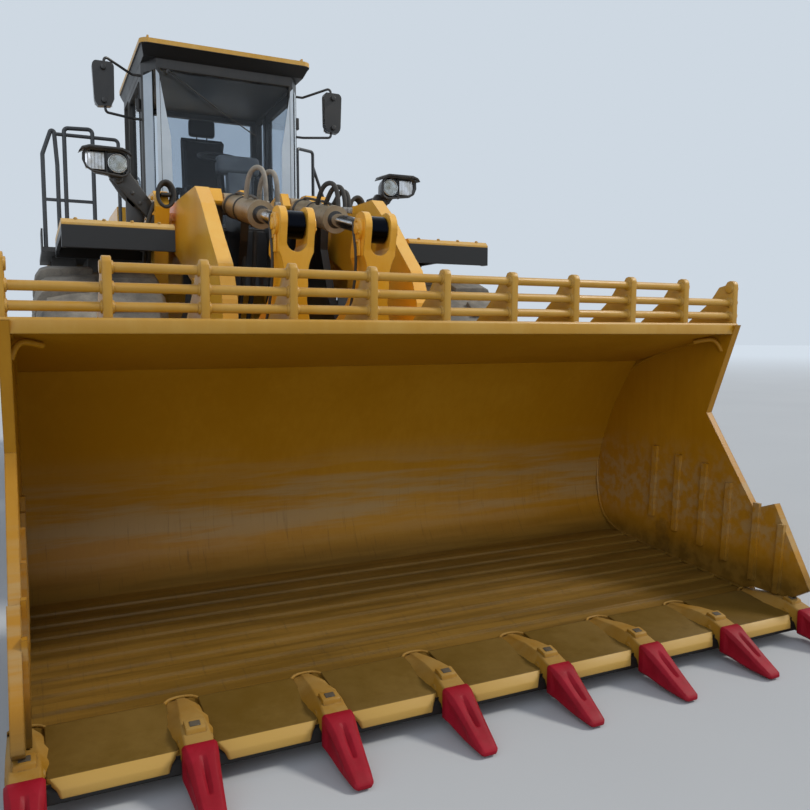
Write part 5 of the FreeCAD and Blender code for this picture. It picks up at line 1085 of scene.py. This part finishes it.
# Cab inside
def swollen(low, high, lean, reach=0.022):
    """A cushion: a rounded block leaned back by an angle, blown out as cloth and capped in its reach."""
    pad = rounded(block(low, high), 0.022, 3)
    middle = Vector([(a + b) / 2 for a, b in zip(low, high)])
    turn = Matrix.Translation(middle) @ Matrix.Rotation(math.radians(lean), 4,
                                                        "X") @ Matrix.Translation(-middle)
    pad.data.transform(turn)
    take(pad)
    remesh = pad.modifiers.new("even", "REMESH")
    remesh.mode = "VOXEL"
    remesh.voxel_size = 0.006
    bpy.ops.object.modifier_apply(modifier=remesh.name)
    cloth = pad.modifiers.new("swell", "CLOTH")
    cloth.settings.use_pressure = True
    cloth.settings.uniform_pressure_force = 4.0
    cloth.settings.effector_weights.gravity = 0.0
    scene = bpy.context.scene
    for frame_number in range(1, 21):
        scene.frame_set(frame_number)
    blown = pad.evaluated_get(bpy.context.evaluated_depsgraph_get()).data
    for vertex, moved in zip(pad.data.vertices, blown.vertices):
        step = moved.co - vertex.co
        if step.length > reach:
            step *= reach / step.length
        vertex.co = vertex.co + step
    pad.modifiers.remove(cloth)
    scene.frame_set(1)
    return pad


SEAT_RAISE = 0.27
cushion = swollen((-0.225, 0.735, 2.54 + SEAT_RAISE), (0.225, 1.16, 2.612 + SEAT_RAISE), 3)
fitted(cushion, "seat_cushion", seat_cloth, "rear_body", ["seat"])
rest = swollen((-0.22, 1.165, 2.64 + SEAT_RAISE), (0.22, 1.235, 3.18 + SEAT_RAISE), -6)
fitted(rest, "seat_rest", seat_cloth, "rear_body")
head = rounded(block((-0.13, 1.225, 3.215 + SEAT_RAISE), (0.13, 1.305, 3.385 + SEAT_RAISE)), 0.03, 4)
bolsters = [rounded(block((x - 0.024, 0.76, 2.52 + SEAT_RAISE), (x + 0.024, 1.16, 2.64 + SEAT_RAISE)), 0.018, 3)
            for x in (0.228, -0.228)]
fitted([head] + bolsters, "seat_head", seat_cloth, "rear_body")
seat_shell = [rounded(cut_plate([(1.205, 2.53), (1.232, 2.53), (1.285, 3.16), (1.262, 3.2)], "YZ",
                                (-0.21, 0.21)), 0.008), rounded(block((-0.21, 0.74, 2.505),
                                                                      (0.21, 1.21, 2.536)), 0.008)]
seat_shell += [rounded(round_bar((x, 1.25, 3.1), (x, 1.262, 3.26), 0.007, 12), 0.001, 1) for x in (-0.05, 0.05)]
for part in seat_shell:
    part.data.transform(shift(0, 0, SEAT_RAISE))
for fold in range(6):
    low = 2.425 + 0.058 * fold
    seat_shell.append(rounded(block((-0.19, 0.78, low), (0.19, 1.18, low + 0.05)), 0.018))
seat_shell.append(rounded(block((-0.24, 0.74, 2.111), (0.24, 1.22, 2.42)), 0.02))
seat_shell += [rounded(block((x - 0.035, 0.86, 2.86), (x + 0.035, 1.2, 2.9)), 0.014, 3) for x in (0.3, -0.3)]
seat_shell += [rounded(block((x - 0.012, 1.14, 2.8), (x + 0.012, 1.2, 2.87)), 0.006) for x in (0.275, -0.275)]
fitted(seat_shell, "seat_shell", cab_plastic, "rear_body")

# Steering wheel on its column, with the instrument pod beside it
WHEEL = Vector((0.0, 0.47, 3.125))
wheel_axis = Vector((0, -0.375, 0.927))
across, forward = Vector((1, 0, 0)), Vector((0, 0.927, 0.375))
steering = [ring(WHEEL, wheel_axis, 0.19, 0.015, 56), rounded(round_bar(WHEEL - wheel_axis * 0.03,
                                                                        WHEEL + wheel_axis * 0.012, 0.05, 32,
                                                                        0.042), 0.005)]
for angle in (0, 180, 270):
    turn = math.radians(angle)
    reach = across * math.cos(turn) + forward * math.sin(turn)
    steering.append(tube([WHEEL + reach * 0.035, WHEEL + reach * 0.11 - wheel_axis * 0.006,
                          WHEEL + reach * 0.188], 0.011))
steering.append(rounded(round_bar((0, 0.302, 2.113), (0, 0.4, 2.78), 0.045, 32), 0.006))
steering.append(rounded(round_bar((0, 0.397, 2.76), (0, 0.458, 3.1), 0.032, 32), 0.004))
steering.append(tube([(0.03, 0.44, 3.02), (0.12, 0.45, 3.05), (0.165, 0.455, 3.06)], 0.008))
fitted(steering, "steering_wheel", cab_plastic, "rear_body", ["steering_column"])
gauges = [rounded(block((-0.07, 0.245, 2.945), (0.325, 0.385, 3.115)), 0.045, 5),
          rounded(cut_plate([(0.2, 2.7), (0.36, 2.7), (0.35, 2.97), (0.26, 2.97)], "YZ", (0.02, 0.24)), 0.02,
                  3)]
gauges += [ring((x, 0.388, 3.035), (0, 1, 0), 0.038, 0.004) for x in (0.03, 0.13, 0.23)]
levers = [tube([(x, 0.62, 2.74), (x, 0.6, 2.9), (x, 0.61, 2.98)], 0.007) for x in (0.3, 0.35, 0.4)]
levers += [rounded(round_bar((x, 0.61, 2.965), (x, 0.612, 3.01), 0.014, 20, 0.017), 0.004)
           for x in (0.3, 0.35, 0.4)]
fitted(gauges + levers, "cab_controls", console_grey, "rear_body")


# Hood, tail and platforms
def rear_grille():
    """Upright bars and three cross bars over the radiator opening."""
    bars = [rounded(block((x - 0.004, 4.63, 1.822), (x + 0.004, 4.642, 2.248)), 0.0015, 1)
            for x in [-0.49 + 0.035 * n for n in range(29)]]
    bars += [rounded(block((-0.518, 4.626, z), (0.518, 4.636, z + 0.01)), 0.002, 1) for z in (1.92, 2.03, 2.14)]
    return bars


fitted(rear_grille(), "rear_grille", black_paint, "hood")
HOOD_SIDE = 0.78
hood_trim = []
for side in (1, -1):
    x = side * HOOD_SIDE
    for y in (2.12, 4.3):
        hood_trim.append(rounded(side_block(x, side * 0.014, (y, 1.66), (y + 0.05, 1.74)), 0.004))
        hood_trim.append(tube([(x, y - 0.03, 2.02), (x + side * 0.026, y - 0.03, 2.03),
                               (x + side * 0.026, y - 0.03, 2.15), (x, y - 0.03, 2.16)], 0.008))
    hood_trim += [bolt((x, y, z), (side, 0, 0), 0.009) for y in (1.86, 2.6, 3.4, 4.55) for z in (1.62, 2.42)]
fitted(hood_trim, "hood_trim", black_paint, "hood")
for name, finish, low_x, high_x in (("tail_lamps", lens_red, 0.918, 1.02),
                                    ("tail_clear_lamps", lens_white, 1.026, 1.122)):
    lens = rounded(block((low_x, 4.69, 1.288), (high_x, 4.712, 1.382)), 0.006)
    fitted_pair([lens], name, finish, "rear_body")
DECK_Z = 2.2205


def deck_tread():
    """Rows of short raised bars, turned left and right in turn, over a platform's deck."""
    parts = []
    first = rounded(block((-0.018, -0.004, 0.0), (0.018, 0.004, 0.004)), 0.001, 1)
    for row in range(9):
        for step in range(11):
            place = shift(0.8 + 0.066 * step, 0.33 + 0.055 * row, DECK_Z - 0.0008)
            turn = Matrix.Rotation(math.radians(45 if (row + step) % 2 else -45), 4, "Z")
            parts.append(copied(first, place @ turn))
    bpy.data.objects.remove(first)
    return parts


fitted_pair(deck_tread(), "deck_tread", charcoal, "rear_body")
rain_cap = [rounded(round_bar((0.3, 2.5, 3.262), (0.3, 2.51, 3.272), 0.066, 32), 0.003)]
fitted(rain_cap + [ring((0.3, 2.5, 2.86), (0, 0, 1), 0.066, 0.006, 40)], "exhaust_bands", bare_steel, "hood",
       slot="dark_paint")


# Floor, light and camera
def make_floor():
    """A pale floor that keeps the machine's shadow and fades into the backdrop far away."""
    clear_selection()
    bpy.ops.mesh.primitive_circle_add(vertices=64, radius=120, fill_type="NGON", location=(0, 0, 0))
    floor = bpy.context.object
    floor.name = "pale_floor"
    material, tree, shader = new_material("pale_floor")
    place = object_place(tree)
    cloud = noise(tree, place, 0.6, 4.0, 0.5)
    away = add_node(tree, "VectorMath", {"operation": "LENGTH"}, Vector=place).outputs["Value"]
    far = spread(tree, away, 12.0, 60.0)
    near_colour = mixed(tree, cloud, tint(176, 179, 183), tint(184, 187, 190))
    filled(tree, shader, Base_Color=mixed(tree, far, near_colour, tint(0, 0, 0)), Roughness=0.85,
           Specular_IOR_Level=0.15, Emission_Color=BACKDROP, Emission_Strength=far)
    floor.data.materials.append(material)


BACKDROP = tint(206, 216, 226)
make_floor()


def soft_sun(name, place, target, spread_angle, strength, colour):
    """Even light from one side, soft because its source is wide."""
    data = bpy.data.lights.new(name, "SUN")
    data.angle = math.radians(spread_angle)
    data.energy = strength
    data.color = colour[:3]
    lamp = bpy.data.objects.new(name, data)
    lamp.location = place
    lamp.rotation_euler = (Vector(target) - Vector(place)).to_track_quat("-Z", "Y").to_euler()
    bpy.context.collection.objects.link(lamp)


soft_sun("key_light", (8.5, -2.5, 9.0), (0, 0, 1), 12, 2.0, tint(255, 250, 240))
soft_sun("fill_light", (-6.0, -9.0, 6.0), (0, 0, 1), 60, 0.62, tint(240, 246, 255))

world = bpy.data.worlds.new("studio")
bpy.context.scene.world = world
world.use_nodes = True
sky = world.node_tree
sky.nodes.clear()
seen = add_node(sky, "Background", Color=BACKDROP, Strength=1.0)
lit = add_node(sky, "Background", Color=tint(230, 238, 248), Strength=0.62)
rays = add_node(sky, "LightPath").outputs
shown = arithmetic(sky, "MAXIMUM", rays["Is Camera Ray"],
                   arithmetic(sky, "MAXIMUM", rays["Is Glossy Ray"], rays["Is Transmission Ray"]))
blend_sky = sky.nodes.new("ShaderNodeMixShader")
sky.links.new(shown, blend_sky.inputs[0])
sky.links.new(lit.outputs[0], blend_sky.inputs[1])
sky.links.new(seen.outputs[0], blend_sky.inputs[2])
sky.links.new(blend_sky.outputs[0], sky.nodes.new("ShaderNodeOutputWorld").inputs[0])

lens = bpy.data.cameras.new("photo_view")
lens.sensor_width = 36
lens.lens = 34.67
camera = bpy.data.objects.new("photo_view", lens)
camera.location = (-1.648, -6.968, 1.488)
camera.rotation_euler = (math.radians(84.87), 0, math.radians(-25.57))
bpy.context.collection.objects.link(camera)
bpy.context.scene.camera = camera
bpy.context.scene.view_settings.view_transform = "Standard"
